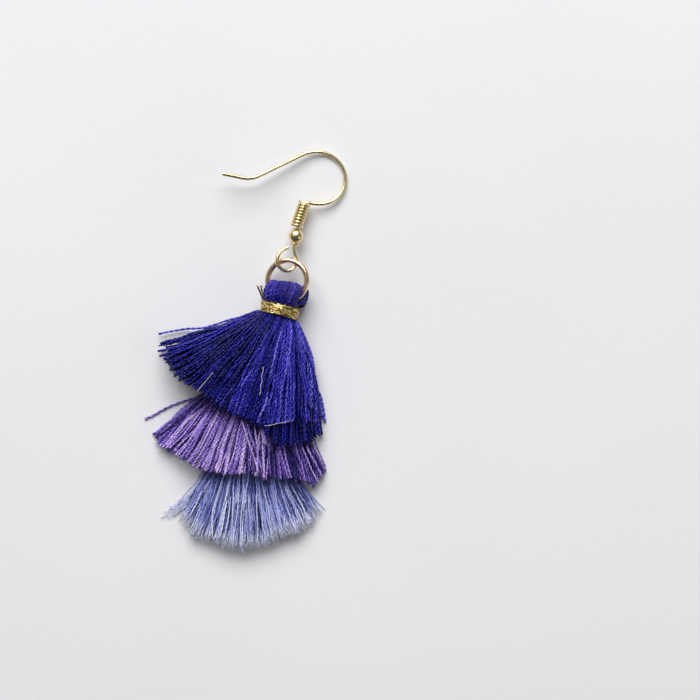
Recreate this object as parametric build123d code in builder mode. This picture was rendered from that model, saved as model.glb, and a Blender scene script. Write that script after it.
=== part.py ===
"""Three-tier thread tassel earring on a fish-hook ear wire, lying on a table.

Units are millimetres.  +X and +Y span the table as the earring is seen from
straight above (+Y towards the bow of the ear wire), +Z points up off the
table.  The origin is the middle of the footprint, at table height.

Plan positions are written as steps of the plan grid (GRID mm each, column
counted to the right, row counted down the sheet) and turned into millimetres
by plan().
"""
import os
from math import cos, radians, sin

from build123d import *

# ------------------------------------------------------------------ sizes
GRID = 0.155            # mm for one step of the plan grid
MID_COL, MID_ROW = 252.11, 347.44   # plan grid point at the origin

WIRE_D = 0.60           # ear wire
COIL_WIRE_D = 0.44      # wire of the coil wound on the shank
COIL_MEAN_R = 0.78      # the coil is wound loosely
COIL_SHIFT = 0.14       # and hangs to the left of the shank's own line
COIL_PITCH = 0.47
BALL_D = 2.36
BALL_HOLE_D = 0.68
COLLAR_D, COLLAR_L = 1.48, 0.20     # flange under the ball
COLLAR_NECK_D, COLLAR_REACH = 1.00, 1.46

RING_MEAN_R = 3.15      # jump ring, 7.16 mm over all
RING_WIRE_D = 0.86
RING_SPLIT = 0.05       # the hairline where its two ends meet

GAP = 0.08              # between soft pieces and what they hold
CORD_D = 1.00           # hidden hanging cord

WRAP_START, WRAP_END = -0.60, 1.45   # gold thread band, along the neck
WRAP_W, WRAP_H = 6.20, 5.90
NECK_W, NECK_H, NECK_Z = 5.36, 5.06, 3.10

os.makedirs("parts", exist_ok=True)


def plan(col, row, z=0.0):
    """Plan grid point to millimetres."""
    return Vector((col - MID_COL) * GRID, (MID_ROW - row) * GRID, z)


def station(centre, heading, d, side=0.0, z=0.0):
    """Plane square to a heading in plan, d mm along it; its local x points to
    the right when the heading points down the sheet, its local y is +Z."""
    a = Vector(cos(radians(heading)), sin(radians(heading)), 0)
    u = Vector(-a.Y, a.X, 0)
    return Plane(origin=centre + a * d + u * side + Vector(0, 0, z), x_dir=u, z_dir=a)


# ------------------------------------------------------------- ear wire
# The wire lies in a plane that leans up to the left and down the sheet,
# because the tassel's head lifts the jump ring off the table.
HOOK_SLOPE_X, HOOK_SLOPE_Y = -0.1587, -0.0741
HOOK_ORIGIN = plan(309.0, 203.0, 1.545)
hook_x = Vector(1, 0, HOOK_SLOPE_X).normalized()
hook_n = Vector(-HOOK_SLOPE_X, -HOOK_SLOPE_Y, 1).normalized()
HOOK_PLANE = Plane(origin=HOOK_ORIGIN, x_dir=hook_x, z_dir=hook_n)

# name, length of a straight run or 0, radius of a bend or 0, turn (+ left)
HOOK_START, HOOK_HEADING = (-13.551, 4.542), -11.25
HOOK_RUNS = [
    ("tip",      3.200, 0.000,    0.00),
    ("heel",     0.000, 4.144,   37.19),
    ("arm",      7.449, 0.000,    0.00),
    ("shoulder", 0.000, 5.830,  -20.39),
    ("crown",    0.000, 4.484,  -68.39),
    ("bow",      0.000, 3.930, -108.68),
    ("under",    0.000, 6.078,  -20.46),
    ("lead_in",  0.372, 0.000,    0.00),
    ("elbow",    0.000, 0.420,   82.20),
    ("coil_run", 3.230, 0.000,    0.00),
    ("ease",     0.000, 3.000,    8.78),
    ("ball_run", 3.050, 0.000,    0.00),
]
LOOP_TWIST = -6.5       # the eye is turned about the shank
LOOP_RUNS = [
    ("neck",     0.000, 2.350,   28.00),
    ("side",     0.800, 0.000,    0.00),
    ("eye",      0.000, 1.550, -197.00),
    ("eye_out",  0.000, 2.050,  -70.00),
    ("free_end", 0.480, 0.000,    0.00),
]


def run_points(start, heading, runs):
    """Corner data of a chain of straight runs and bends: a list of
    (name, start, tangent, length, radius, turn), and the end point and heading."""
    out, x, y, h = [], start[0], start[1], radians(heading)
    for name, length, radius, turn in runs:
        out.append((name, (x, y), (cos(h), sin(h)), length, radius, turn))
        if radius == 0:
            x, y = x + length * cos(h), y + length * sin(h)
        else:
            t = radians(turn)
            side = 1 if t > 0 else -1
            cx, cy = x - side * radius * sin(h), y + side * radius * cos(h)
            h += t
            x, y = cx + side * radius * sin(h), cy - side * radius * cos(h)
    return out, (x, y), h


hook_chain, hook_end, hook_h = run_points(HOOK_START, HOOK_HEADING, HOOK_RUNS)
with BuildLine(HOOK_PLANE) as hook_line:
    for name, p, t, length, radius, turn in hook_chain:
        if radius == 0:
            Line(p, (p[0] + t[0] * length, p[1] + t[1] * length))
        else:
            JernArc(start=p, tangent=t, radius=radius, arc_size=turn)

# the eye's plane holds the shank's line and is turned about it
shank_end = HOOK_PLANE.from_local_coords(Vector(hook_end[0], hook_end[1], 0))
shank_dir = HOOK_PLANE.from_local_coords(
    Vector(hook_end[0] + cos(hook_h), hook_end[1] + sin(hook_h), 0)) - shank_end
eye_n = hook_n.rotate(Axis((0, 0, 0), tuple(shank_dir)), LOOP_TWIST)
EYE_PLANE = Plane(origin=shank_end, x_dir=shank_dir, z_dir=eye_n)
loop_chain, loop_end, loop_h = run_points((0, 0), 0, LOOP_RUNS)
with BuildLine(EYE_PLANE) as loop_line:
    for name, p, t, length, radius, turn in loop_chain:
        if radius == 0:
            Line(p, (p[0] + t[0] * length, p[1] + t[1] * length))
        else:
            JernArc(start=p, tangent=t, radius=radius, arc_size=turn)

hook_path = Wire(hook_line.edges() + loop_line.edges())
tip_point = HOOK_PLANE.from_local_coords(Vector(*HOOK_START, 0))
tip_dir = (HOOK_PLANE.from_local_coords(
    Vector(HOOK_START[0] + cos(radians(HOOK_HEADING)),
           HOOK_START[1] + sin(radians(HOOK_HEADING)), 0)) - tip_point).normalized()
with BuildPart() as ear_hook:
    with BuildSketch(Plane(origin=tip_point, z_dir=tip_dir)):
        Circle(WIRE_D / 2)
    sweep(path=hook_path)
    fillet(ear_hook.faces().sort_by_distance(tip_point)[0].edges(), 0.14)

# ------------------------------------------------------------ coil, ball
corner = {row[0]: row for row in hook_chain}


def hook_axis(run, along):
    """Point and direction of the shank, so far along one of its runs."""
    name, p, t, length, radius, turn = corner[run]
    a = HOOK_PLANE.from_local_coords(Vector(p[0] + t[0] * along, p[1] + t[1] * along, 0))
    b = HOOK_PLANE.from_local_coords(
        Vector(p[0] + t[0] * (along + 1), p[1] + t[1] * (along + 1), 0))
    return a, b - a


COIL_TURNS, LOOSE_TURNS, LOOSE_PITCH = 6.5, 1.5, 0.56
coil_start, coil_dir = hook_axis("coil_run", -0.13)
# the first half turn passes on the side away from the elbow
coil_x = Vector(HOOK_PLANE.from_local_coords(Vector(1, 0, 0)) - HOOK_ORIGIN)
coil_left = ((coil_x - coil_dir * coil_x.dot(coil_dir)) * -1).normalized()
coil_start = coil_start + coil_left * COIL_SHIFT
coil_plane = Plane(origin=coil_start, x_dir=coil_left, z_dir=coil_dir)
loose_start = coil_start + coil_dir * (COIL_TURNS * COIL_PITCH)
loose_plane = Plane(origin=loose_start, x_dir=coil_plane.x_dir * -1, z_dir=coil_dir)
tight_line = coil_plane.location * Helix(COIL_PITCH, COIL_TURNS * COIL_PITCH, COIL_MEAN_R)
loose_line = loose_plane.location * Helix(LOOSE_PITCH, LOOSE_TURNS * LOOSE_PITCH, COIL_MEAN_R,
                                          cone_angle=4)
coil_path = Wire([tight_line.edge(), loose_line.edge()])
with BuildPart() as hook_coil:
    with BuildSketch(Plane(origin=tight_line @ 0, z_dir=tight_line % 0)):
        Circle(COIL_WIRE_D / 2)
    sweep(path=coil_path, is_frenet=True, transition=Transition.TRANSFORMED)

BALL_ALONG = 1.52       # from the start of the ball's run to its centre
ball_at, ball_dir = hook_axis("ball_run", BALL_ALONG)
ball_plane = Plane(origin=ball_at, z_dir=ball_dir)
with BuildPart() as ball_bead:
    with BuildSketch(Plane(origin=ball_at, x_dir=ball_plane.x_dir,
                           z_dir=ball_dir.cross(ball_plane.x_dir))) as ball_profile:
        # local x runs across the shank, local y back along it
        with BuildLine():
            r, h, c, n = BALL_D / 2, BALL_HOLE_D / 2, COLLAR_D / 2, COLLAR_NECK_D / 2
            top = (r * r - h * h) ** 0.5
            low = (r * r - n * n) ** 0.5
            foot = COLLAR_REACH
            Polyline((h, top), (h, -foot), (c, -foot), (c, COLLAR_L - foot),
                     (n, COLLAR_L - foot), (n, -low))
            ThreePointArc((n, -low), (r, 0), (h, top))
        make_face()
    revolve(axis=Axis(ball_at, ball_dir))

# ------------------------------------------------------------- jump ring
RING_CENTRE = plan(287.2, 280.6, 3.000)
RING_RISE_RIGHT, RING_RISE_DOWN = 0.2750, 0.052
ring_n = Vector(-RING_RISE_RIGHT, RING_RISE_DOWN, 1).normalized()
ring_x = Vector(1, 0, RING_RISE_RIGHT).normalized()
RING_PLANE = Plane(origin=RING_CENTRE, x_dir=ring_x, z_dir=ring_n)
with BuildPart(RING_PLANE) as jump_ring:
    Torus(RING_MEAN_R, RING_WIRE_D / 2)
    with Locations((0, -RING_MEAN_R, 0)):
        Box(RING_SPLIT, 2 * RING_WIRE_D, 2 * RING_WIRE_D, mode=Mode.SUBTRACT)
with BuildPart(RING_PLANE, mode=Mode.PRIVATE) as ring_room:
    Torus(RING_MEAN_R, RING_WIRE_D / 2 + GAP)

# ------------------------------------------------------- tassel sections


def loaf(centre, heading, d, left, right, low, top, lip, crest):
    """Section of a fan of threads lying on the table: flat below, rising to a
    crest above, with a rounded lip of threads at each side."""
    e = min(lip / 2, 0.3 * (left + right))
    with BuildSketch(station(centre, heading, d)) as face:
        with BuildLine():
            Line((-left + e, low), (right - e, low))
            ThreePointArc((right - e, low), (right, low + lip / 2), (right - e, low + lip))
            TangentArc((crest, top), (right - e, low + lip), tangent=(1, 0))
            TangentArc((crest, top), (-left + e, low + lip), tangent=(-1, 0))
            ThreePointArc((-left + e, low + lip), (-left, low + lip / 2), (-left + e, low))
        make_face()
    return face.sketch


def bundle(centre, heading, d, width, height, side, mid_z):
    """Section of a tight round-cornered bundle of threads."""
    with BuildSketch(station(centre, heading, d, side, mid_z)) as face:
        RectangleRounded(width, height, 0.42 * min(width, height))
    return face.sketch


def eased(rows, step):
    """The table's rows with more put between them, about step mm apart, each
    column following a smooth curve that never overshoots the rows."""
    slopes = []
    for k, row in enumerate(rows):
        line = []
        for c in range(1, len(row)):
            before = (row[c] - rows[k - 1][c]) / (row[0] - rows[k - 1][0]) if k else None
            after = ((rows[k + 1][c] - row[c]) / (rows[k + 1][0] - row[0])
                     if k + 1 < len(rows) else None)
            if before is None or after is None:
                line.append(after if before is None else before)
            elif before * after <= 0:
                line.append(0.0)
            else:
                line.append(2 * before * after / (before + after))
        slopes.append(line)
    out = [rows[0]]
    for k in range(len(rows) - 1):
        a, b = rows[k], rows[k + 1]
        span = b[0] - a[0]
        parts = max(1, round(span / step))
        for i in range(1, parts + 1):
            t = i / parts
            h00, h10 = 2 * t**3 - 3 * t**2 + 1, t**3 - 2 * t**2 + t
            h01, h11 = -2 * t**3 + 3 * t**2, t**3 - t**2
            out.append((a[0] + span * t,) + tuple(
                h00 * a[c] + h10 * span * slopes[k][c - 1]
                + h01 * b[c] + h11 * span * slopes[k + 1][c - 1]
                for c in range(1, len(a))))
    return out


def fan(centre, heading, rows, step=2.4):
    return [loaf(centre, heading, *row) for row in eased(rows, step)]


def notches(centre, reach, rows):
    """Wedges that part the cut ends of a fan into its main clumps.  Each row
    is a direction in plan, how deep the gap runs in from the hem, and half
    its width at the hem."""
    with BuildPart() as gaps:
        for heading, deep, half in rows:
            with BuildSketch(Plane(origin=centre + Vector(0, 0, -1),
                                   x_dir=Vector(cos(radians(heading)), sin(radians(heading)), 0))):
                with BuildLine():
                    Polyline((reach - deep, 0), (reach + 3, half * (deep + 3) / deep),
                             (reach + 3, -half * (deep + 3) / deep), close=True)
                make_face()
            extrude(amount=12)
    return gaps.part


# hidden hanging cord: from the upper neck through the two tiers below
NECK_1, NECK_2, NECK_3 = plan(280, 307), plan(258, 365), plan(248, 432)
NECK_HEADING = -104.5
neck_dir = Vector(cos(radians(NECK_HEADING)), sin(radians(NECK_HEADING)), 0)
cord_points = [NECK_1 + neck_dir * 1.6 + Vector(0, 0, NECK_Z),
               NECK_2 + Vector(0, 0, 3.60),
               NECK_3 + Vector(0, 0, 3.25)]


def cord_solid(radius, extra):
    """The cord's tube, each end drawn out by extra."""
    a, b, c = cord_points
    a = a + (a - b).normalized() * extra
    c = c + (c - b).normalized() * extra
    with BuildPart() as tube:
        with BuildLine() as path:
            FilletPolyline(a, b, c, radius=8.0)
        with BuildSketch(Plane(origin=path.line @ 0, z_dir=path.line % 0)):
            Circle(radius)
        sweep(path=path.line)
    return tube.part


core_cord = cord_solid(CORD_D / 2, 0)
cord_room = cord_solid(CORD_D / 2 + GAP, GAP)

# ----------------------------------------------------------- upper tier
UPPER_HEADING = -116.0
HEM_1 = (plan(290.7, 299.7), 21.03)      # centre and radius of the cut hem
#     d     left   right  low    top   lip   crest
UPPER_OUT = [
    (0.4,   2.00,  2.20,  0.90,  5.30,  3.60,  0.10),
    (2.0,   2.65,  4.50,  0.30,  6.30,  4.20,  0.60),
    (4.5,   4.90,  7.10,  0.00,  7.20,  3.20,  0.90),
    (8.0,   9.20, 10.40,  0.00,  7.80,  2.40,  1.20),
    (12.5, 15.80, 13.50,  0.00,  7.80,  1.90,  2.00),
    (23.0, 29.50, 19.00,  0.00,  7.20,  1.60,  4.20),
]
UPPER_IN = [
    (2.8,   1.60,  3.40,  1.40,  5.20,  2.00,  0.60),
    (4.5,   3.60,  5.80,  0.95,  6.00,  1.70,  0.90),
    (8.0,   7.80,  9.00,  0.90,  6.70,  1.20,  1.20),
    (12.5, 14.30, 12.10,  0.90,  6.70,  0.80,  2.00),
    (24.0, 29.60, 18.40,  0.90,  6.10,  0.60,  4.40),
]
#  heading   deep  half
UPPER_GAPS = [
    (-161.0, 1.60, 0.30),
    (-155.5, 1.40, 0.28),
    (-147.0, 1.10, 0.25),
    (-127.0, 1.00, 0.22),
    (-101.0, 1.10, 0.25),
    (-83.0,  1.60, 0.30),
]
# the head: threads folded over the jump ring, the front half to the left and
# the back half a little to the right
#             d     width height side   mid_z
HEAD_FRONT = [
    (-4.00,  4.40,  1.40, -0.10,  3.50),
    (-3.50,  5.40,  3.00, -0.15,  3.70),
    (-2.60,  5.90,  4.40, -0.20,  3.90),
    (-1.60,  6.00,  5.00, -0.15,  3.88),
    (-0.66,  5.75,  4.80,  0.00,  3.65),
]
HEAD_BACK = [
    (-3.60,  4.60,  1.40,  0.70,  2.90),
    (-3.10,  5.50,  3.00,  0.80,  2.60),
    (-2.20,  5.90,  4.20,  0.75,  2.40),
    (-1.20,  5.80,  4.40,  0.60,  2.42),
    (-0.66,  5.60,  4.40,  0.25,  2.50),
]
band_end = station(NECK_1, NECK_HEADING, WRAP_END + GAP)
with BuildPart() as upper_tassel:
    loft(sections=fan(NECK_1, UPPER_HEADING, UPPER_OUT), ruled=True)
    # nothing of the skirt stands beside the band
    split(bisect_by=band_end, keep=Keep.TOP)
    # the hem is cut to one arc
    with BuildSketch(Plane.XY.offset(-1)):
        with Locations((HEM_1[0].X, HEM_1[0].Y)):
            Circle(HEM_1[1])
    extrude(amount=12, mode=Mode.INTERSECT)
    loft(sections=fan(NECK_1, UPPER_HEADING, UPPER_IN), ruled=True, mode=Mode.SUBTRACT)
    add(notches(NECK_1, 19.4, UPPER_GAPS), mode=Mode.SUBTRACT)
    with BuildSketch(station(NECK_1, NECK_HEADING, -0.9, 0, NECK_Z)):
        RectangleRounded(NECK_W, NECK_H, 0.42 * NECK_H)
    extrude(amount=0.9 + 3.0)
    loft(sections=[bundle(NECK_1, NECK_HEADING, *row) for row in eased(HEAD_FRONT, 0.5)],
         ruled=True)
    loft(sections=[bundle(NECK_1, NECK_HEADING, *row) for row in eased(HEAD_BACK, 0.5)],
         ruled=True)
    add(ring_room.part, mode=Mode.SUBTRACT)
    add(cord_room, mode=Mode.SUBTRACT)

with BuildPart() as gold_wrap:
    with BuildSketch(station(NECK_1, NECK_HEADING, WRAP_START, 0, NECK_Z)):
        RectangleRounded(WRAP_W, WRAP_H, 0.42 * WRAP_H)
        RectangleRounded(NECK_W + 0.1, NECK_H + 0.1, 0.42 * NECK_H + 0.05, mode=Mode.SUBTRACT)
    extrude(amount=WRAP_END - WRAP_START)

# ---------------------------------------------------------- middle tier
MIDDLE_HEADING = -100.0
HEM_2 = (plan(266.8, 332.6), 23.42)
MIDDLE_OUT = [
    (-2.0,  1.30,  1.30,  2.40,  4.90,  1.60,  0.00),
    (-0.8,  2.20,  2.20,  1.60,  5.60,  2.40,  0.00),
    (0.8,   2.20,  2.20,  1.60,  5.50,  2.40,  0.00),
    (3.5,   3.50,  3.90,  1.20,  5.50,  2.30,  0.10),
    (7.0,   6.80,  7.10,  1.10,  5.70,  1.90,  0.20),
    (10.6, 10.50, 10.00,  1.02,  5.60,  1.50,  0.30),
    (14.0, 13.90, 12.90,  0.10,  4.90,  1.40,  0.30),
    (17.0, 16.80, 15.20,  0.00,  4.60,  1.30,  0.30),
    (25.0, 24.50, 21.50,  0.00,  4.00,  1.20,  0.30),
]
MIDDLE_IN = [
    (2.4,   1.60,  1.80,  2.20,  4.40,  1.20,  0.00),
    (7.0,   5.60,  5.90,  2.00,  4.70,  1.00,  0.20),
    (10.6,  9.20,  8.70,  1.85,  4.70,  0.80,  0.30),
    (14.0, 12.50, 11.50,  1.00,  4.00,  0.70,  0.30),
    (26.0, 24.30, 21.00,  0.80,  3.10,  0.40,  0.30),
]
MIDDLE_GAPS = [
    (-137.0, 1.20, 0.26),
    (-118.0, 1.00, 0.22),
    (-89.5,  2.40, 0.50),
    (-66.0,  1.20, 0.26),
]
with BuildPart() as middle_tassel:
    loft(sections=fan(NECK_2, MIDDLE_HEADING, MIDDLE_OUT), ruled=True)
    with BuildSketch(Plane.XY.offset(-1)):
        with Locations((HEM_2[0].X, HEM_2[0].Y)):
            Circle(HEM_2[1])
    extrude(amount=12, mode=Mode.INTERSECT)
    loft(sections=fan(NECK_2, MIDDLE_HEADING, MIDDLE_IN), ruled=True, mode=Mode.SUBTRACT)
    add(notches(NECK_2, 18.3, MIDDLE_GAPS), mode=Mode.SUBTRACT)
    add(cord_room, mode=Mode.SUBTRACT)

# ----------------------------------------------------------- lower tier
LOWER_HEADING = -90.0
HEM_3 = (plan(241.2, 434.1), 17.33)
LOWER_OUT = [
    (-1.6,  1.20,  1.20,  2.50,  4.00,  1.00,  0.00),
    (-0.5,  2.00,  2.00,  2.10,  4.40,  1.50,  0.00),
    (1.0,   2.10,  2.10,  2.05,  4.20,  1.50,  0.00),
    (4.0,   3.80,  3.80,  1.45,  3.70,  1.40,  0.00),
    (8.0,   7.40,  7.80,  1.10,  3.20,  1.20,  0.00),
    (10.5,  9.80, 10.00,  0.15,  2.95,  1.20,  0.00),
    (13.0, 12.90, 11.70,  0.00,  2.80,  1.10,  0.00),
    (19.0, 18.50, 16.00,  0.00,  2.50,  1.00,  0.00),
]
LOWER_GAPS = [
    (-124.0, 1.20, 0.28),
    (-82.0,  1.60, 0.40),
    (-60.0,  1.10, 0.25),
]
with BuildPart() as lower_tassel:
    loft(sections=fan(NECK_3, LOWER_HEADING, LOWER_OUT), ruled=True)
    with BuildSketch(Plane.XY.offset(-1)):
        with Locations((HEM_3[0].X, HEM_3[0].Y)):
            Circle(HEM_3[1])
    extrude(amount=12, mode=Mode.INTERSECT)
    add(notches(NECK_3, 17.3, LOWER_GAPS), mode=Mode.SUBTRACT)
    add(cord_room, mode=Mode.SUBTRACT)

# --------------------------------------------------------------- output
pieces = {
    "ear_hook": ear_hook.part,
    "hook_coil": hook_coil.part,
    "ball_bead": ball_bead.part,
    "jump_ring": jump_ring.part,
    "upper_tassel": upper_tassel.part,
    "gold_wrap": gold_wrap.part,
    "middle_tassel": middle_tassel.part,
    "lower_tassel": lower_tassel.part,
    "core_cord": core_cord,
}
for name, solid in pieces.items():
    solid.label = name
    export_step(solid, f"parts/{name}.step")

whole = Compound(children=list(pieces.values())).bounding_box()
print("box", [round(v, 3) for v in (whole.min.X, whole.min.Y, whole.min.Z,
                                    whole.max.X, whole.max.Y, whole.max.Z)])
print("ear wire tip", [round(v, 4) for v in tuple(tip_point)],
      "pointing", [round(-v, 5) for v in tuple(tip_dir)])
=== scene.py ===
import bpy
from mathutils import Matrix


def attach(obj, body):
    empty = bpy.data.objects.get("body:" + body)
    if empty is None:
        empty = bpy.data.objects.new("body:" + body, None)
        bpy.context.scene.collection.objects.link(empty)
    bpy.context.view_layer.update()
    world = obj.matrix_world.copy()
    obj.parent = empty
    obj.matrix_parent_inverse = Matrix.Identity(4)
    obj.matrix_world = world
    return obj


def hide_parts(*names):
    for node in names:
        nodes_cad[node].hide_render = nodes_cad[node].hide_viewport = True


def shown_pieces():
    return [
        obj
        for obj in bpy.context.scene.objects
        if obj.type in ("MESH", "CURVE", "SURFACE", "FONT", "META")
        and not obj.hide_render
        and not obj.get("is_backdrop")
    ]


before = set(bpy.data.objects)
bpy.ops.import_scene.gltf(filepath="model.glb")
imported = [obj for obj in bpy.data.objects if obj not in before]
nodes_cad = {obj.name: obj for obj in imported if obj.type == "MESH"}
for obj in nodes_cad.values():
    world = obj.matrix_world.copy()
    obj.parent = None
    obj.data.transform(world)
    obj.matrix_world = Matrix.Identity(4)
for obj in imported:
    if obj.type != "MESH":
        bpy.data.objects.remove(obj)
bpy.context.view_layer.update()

import math

import bpy
import numpy as np
from mathutils import Vector

MM = 0.001
GRID = 0.155  # mm for one step of the plan grid, as in the part's source
MID_COL, MID_ROW = 252.11, 347.44
rng = np.random.default_rng(20)
scene = bpy.context.scene
scene.view_settings.view_transform = "Standard"


def spot(col, row):
    """Plan grid point to millimetres."""
    return np.array([(col - MID_COL) * GRID, (MID_ROW - row) * GRID])


def spot3(col, row, z):
    return np.array([(col - MID_COL) * GRID, (MID_ROW - row) * GRID, z])


def heading(deg):
    """Plan direction of an angle counted from +X towards the foot of the sheet."""
    t = np.radians(deg)
    return np.stack([np.cos(t), -np.sin(t)], -1)


# ---------------------------------------------------------------- camera
REACH = 600.0
FIELD = 108.5
cam_data = bpy.data.cameras.new("overhead")
cam_data.sensor_width = 36.0
cam_data.lens = 36.0 * REACH / FIELD
cam_data.clip_start, cam_data.clip_end = 0.01, 60.0
cam = bpy.data.objects.new("overhead", cam_data)
scene.collection.objects.link(cam)
cx, cy = spot(350.0, 350.0)
cam.location = (cx * MM, cy * MM, (REACH + 3.0) * MM)
scene.camera = cam


# ------------------------------------------------------------- materials
def new_material(name):
    m = bpy.data.materials.new(name)
    m.use_nodes = True
    nt = m.node_tree
    nt.nodes.clear()
    out = nt.nodes.new("ShaderNodeOutputMaterial")
    bsdf = nt.nodes.new("ShaderNodeBsdfPrincipled")
    nt.links.new(bsdf.outputs[0], out.inputs[0])
    return m, nt, bsdf


def math_node(nt, op, a, b=None, clamp=False):
    n = nt.nodes.new("ShaderNodeMath")
    n.operation = op
    n.use_clamp = clamp
    for i, v in enumerate((a, b)):
        if v is None:
            continue
        if isinstance(v, (int, float)):
            n.inputs[i].default_value = v
        else:
            nt.links.new(v, n.inputs[i])
    return n.outputs[0]


def ramp(nt, fac, stops):
    n = nt.nodes.new("ShaderNodeValToRGB")
    e = n.color_ramp.elements
    while len(e) < len(stops):
        e.new(0.5)
    for el, (pos, col) in zip(e, stops):
        el.position = pos
        el.color = (*col, 1.0)
    nt.links.new(fac, n.inputs[0])
    return n.outputs[0]


def attribute(nt, name):
    n = nt.nodes.new("ShaderNodeAttribute")
    n.attribute_name = name
    return n


def noise(nt, vector, scale, detail=2.0, rough=0.5):
    n = nt.nodes.new("ShaderNodeTexNoise")
    n.inputs["Scale"].default_value = scale
    n.inputs["Detail"].default_value = detail
    n.inputs["Roughness"].default_value = rough
    if vector is not None:
        nt.links.new(vector, n.inputs["Vector"])
    return n.outputs["Fac"]


def thread_material(name, stops, spec_tint, rough=0.42, spec=0.6, sheen=0.3, sheen_tint=(1, 1, 1), tip=None, fibre=0.30, patch=0.35, ridge=0.40, edge=0.45, glint=0.12, fleck=0.5):
    """Spun two-ply thread: colour from a per-thread tint, patches of light and
    dark dye, and streaks that follow the filaments of each ply. The tint also
    carries painted shade on buried threads and by hems above them; ply crests
    are painted lighter and grooves darker, as painted highlight and painted
    shade; and flecks on the bump noise are painted glints."""
    m, nt, b = new_material(name)
    tint = attribute(nt, "tint").outputs["Fac"]
    coord = nt.nodes.new("ShaderNodeTexCoord").outputs["Object"]
    blotch = noise(nt, coord, 520.0, 2.0)
    uv = nt.nodes.new("ShaderNodeUVMap")
    uv.uv_map = "strand"
    mapping = nt.nodes.new("ShaderNodeMapping")
    mapping.inputs["Scale"].default_value = (9.0, 1.4, 1.0)
    mapping.inputs["Rotation"].default_value = (0.0, 0.0, 0.35)
    nt.links.new(uv.outputs[0], mapping.inputs["Vector"])
    streak = noise(nt, mapping.outputs[0], 2.2, 3.0, 0.62)
    f = math_node(nt, "MULTIPLY_ADD", blotch, patch)
    f.node.inputs[2].default_value = -patch / 2
    g = math_node(nt, "MULTIPLY_ADD", streak, fibre)
    g.node.inputs[2].default_value = -fibre / 2
    total = math_node(nt, "ADD", tint, f)
    total = math_node(nt, "ADD", total, g)
    # ply crests lighter and grooves darker in colour: painted highlight on the crests, painted shade in the grooves
    crest = math_node(nt, "MULTIPLY_ADD", attribute(nt, "crest").outputs["Fac"], ridge)
    crest.node.inputs[2].default_value = -ridge * edge
    total = math_node(nt, "ADD", total, crest)
    # flecks of lighter and darker colour on the same noise as the bump knobs below: painted glints
    swell_map = nt.nodes.new("ShaderNodeMapping")
    swell_map.inputs["Scale"].default_value = (1.3, 1.0, 1.0)
    nt.links.new(uv.outputs[0], swell_map.inputs["Vector"])
    swell = noise(nt, swell_map.outputs[0], 2.7, 2.0, 0.5)
    spots = math_node(nt, "MULTIPLY_ADD", swell, fleck)
    spots.node.inputs[2].default_value = -fleck / 2
    total = math_node(nt, "ADD", total, spots, clamp=True)
    colour = ramp(nt, total, stops)
    if tip is not None:
        fluff = attribute(nt, "fluff").outputs["Fac"]
        mix = nt.nodes.new("ShaderNodeMix")
        mix.data_type = "RGBA"
        nt.links.new(fluff, mix.inputs["Factor"])
        nt.links.new(colour, mix.inputs["A"])
        mix.inputs["B"].default_value = (*tip, 1.0)
        colour = mix.outputs["Result"]
    nt.links.new(colour, b.inputs["Base Color"])
    knobs = nt.nodes.new("ShaderNodeBump")
    knobs.inputs["Strength"].default_value = 1.0
    knobs.inputs["Distance"].default_value = glint * MM
    nt.links.new(swell, knobs.inputs["Height"])
    bump = nt.nodes.new("ShaderNodeBump")
    bump.inputs["Strength"].default_value = 0.55
    bump.inputs["Distance"].default_value = 0.00003
    nt.links.new(streak, bump.inputs["Height"])
    nt.links.new(knobs.outputs[0], bump.inputs["Normal"])
    nt.links.new(bump.outputs[0], b.inputs["Normal"])
    r = nt.nodes.new("ShaderNodeMapRange")
    r.inputs["To Min"].default_value = rough - 0.09
    r.inputs["To Max"].default_value = rough + 0.13
    nt.links.new(streak, r.inputs["Value"])
    nt.links.new(r.outputs[0], b.inputs["Roughness"])
    b.inputs["Specular IOR Level"].default_value = spec
    b.inputs["Specular Tint"].default_value = (*spec_tint, 1.0)
    b.inputs["Sheen Weight"].default_value = sheen
    b.inputs["Sheen Roughness"].default_value = 0.45
    b.inputs["Sheen Tint"].default_value = (*sheen_tint, 1.0)
    return m


def metal_material(name, stops, rough, wear, bump_scale=5200.0, spots=None):
    """Plated wire: tone drifts along the wire, with fine drawing marks."""
    m, nt, b = new_material(name)
    coord = nt.nodes.new("ShaderNodeTexCoord").outputs["Object"]
    slow = noise(nt, coord, 260.0, 2.0)
    fine = noise(nt, coord, bump_scale, 3.0, 0.6)
    mixed = math_node(nt, "MULTIPLY_ADD", fine, wear)
    mixed.node.inputs[2].default_value = -wear / 2
    total = math_node(nt, "ADD", slow, mixed, clamp=True)
    nt.links.new(ramp(nt, total, stops), b.inputs["Base Color"])
    b.inputs["Metallic"].default_value = 1.0
    r = nt.nodes.new("ShaderNodeMapRange")
    r.inputs["From Min"].default_value = 0.3
    r.inputs["From Max"].default_value = 0.7
    r.inputs["To Min"].default_value = rough - 0.05
    r.inputs["To Max"].default_value = rough + 0.09
    nt.links.new(fine, r.inputs["Value"])
    nt.links.new(r.outputs[0], b.inputs["Roughness"])
    bump = nt.nodes.new("ShaderNodeBump")
    bump.inputs["Strength"].default_value = 0.05
    bump.inputs["Distance"].default_value = 0.00001
    nt.links.new(fine, bump.inputs["Height"])
    nt.links.new(bump.outputs[0], b.inputs["Normal"])
    return m


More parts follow.
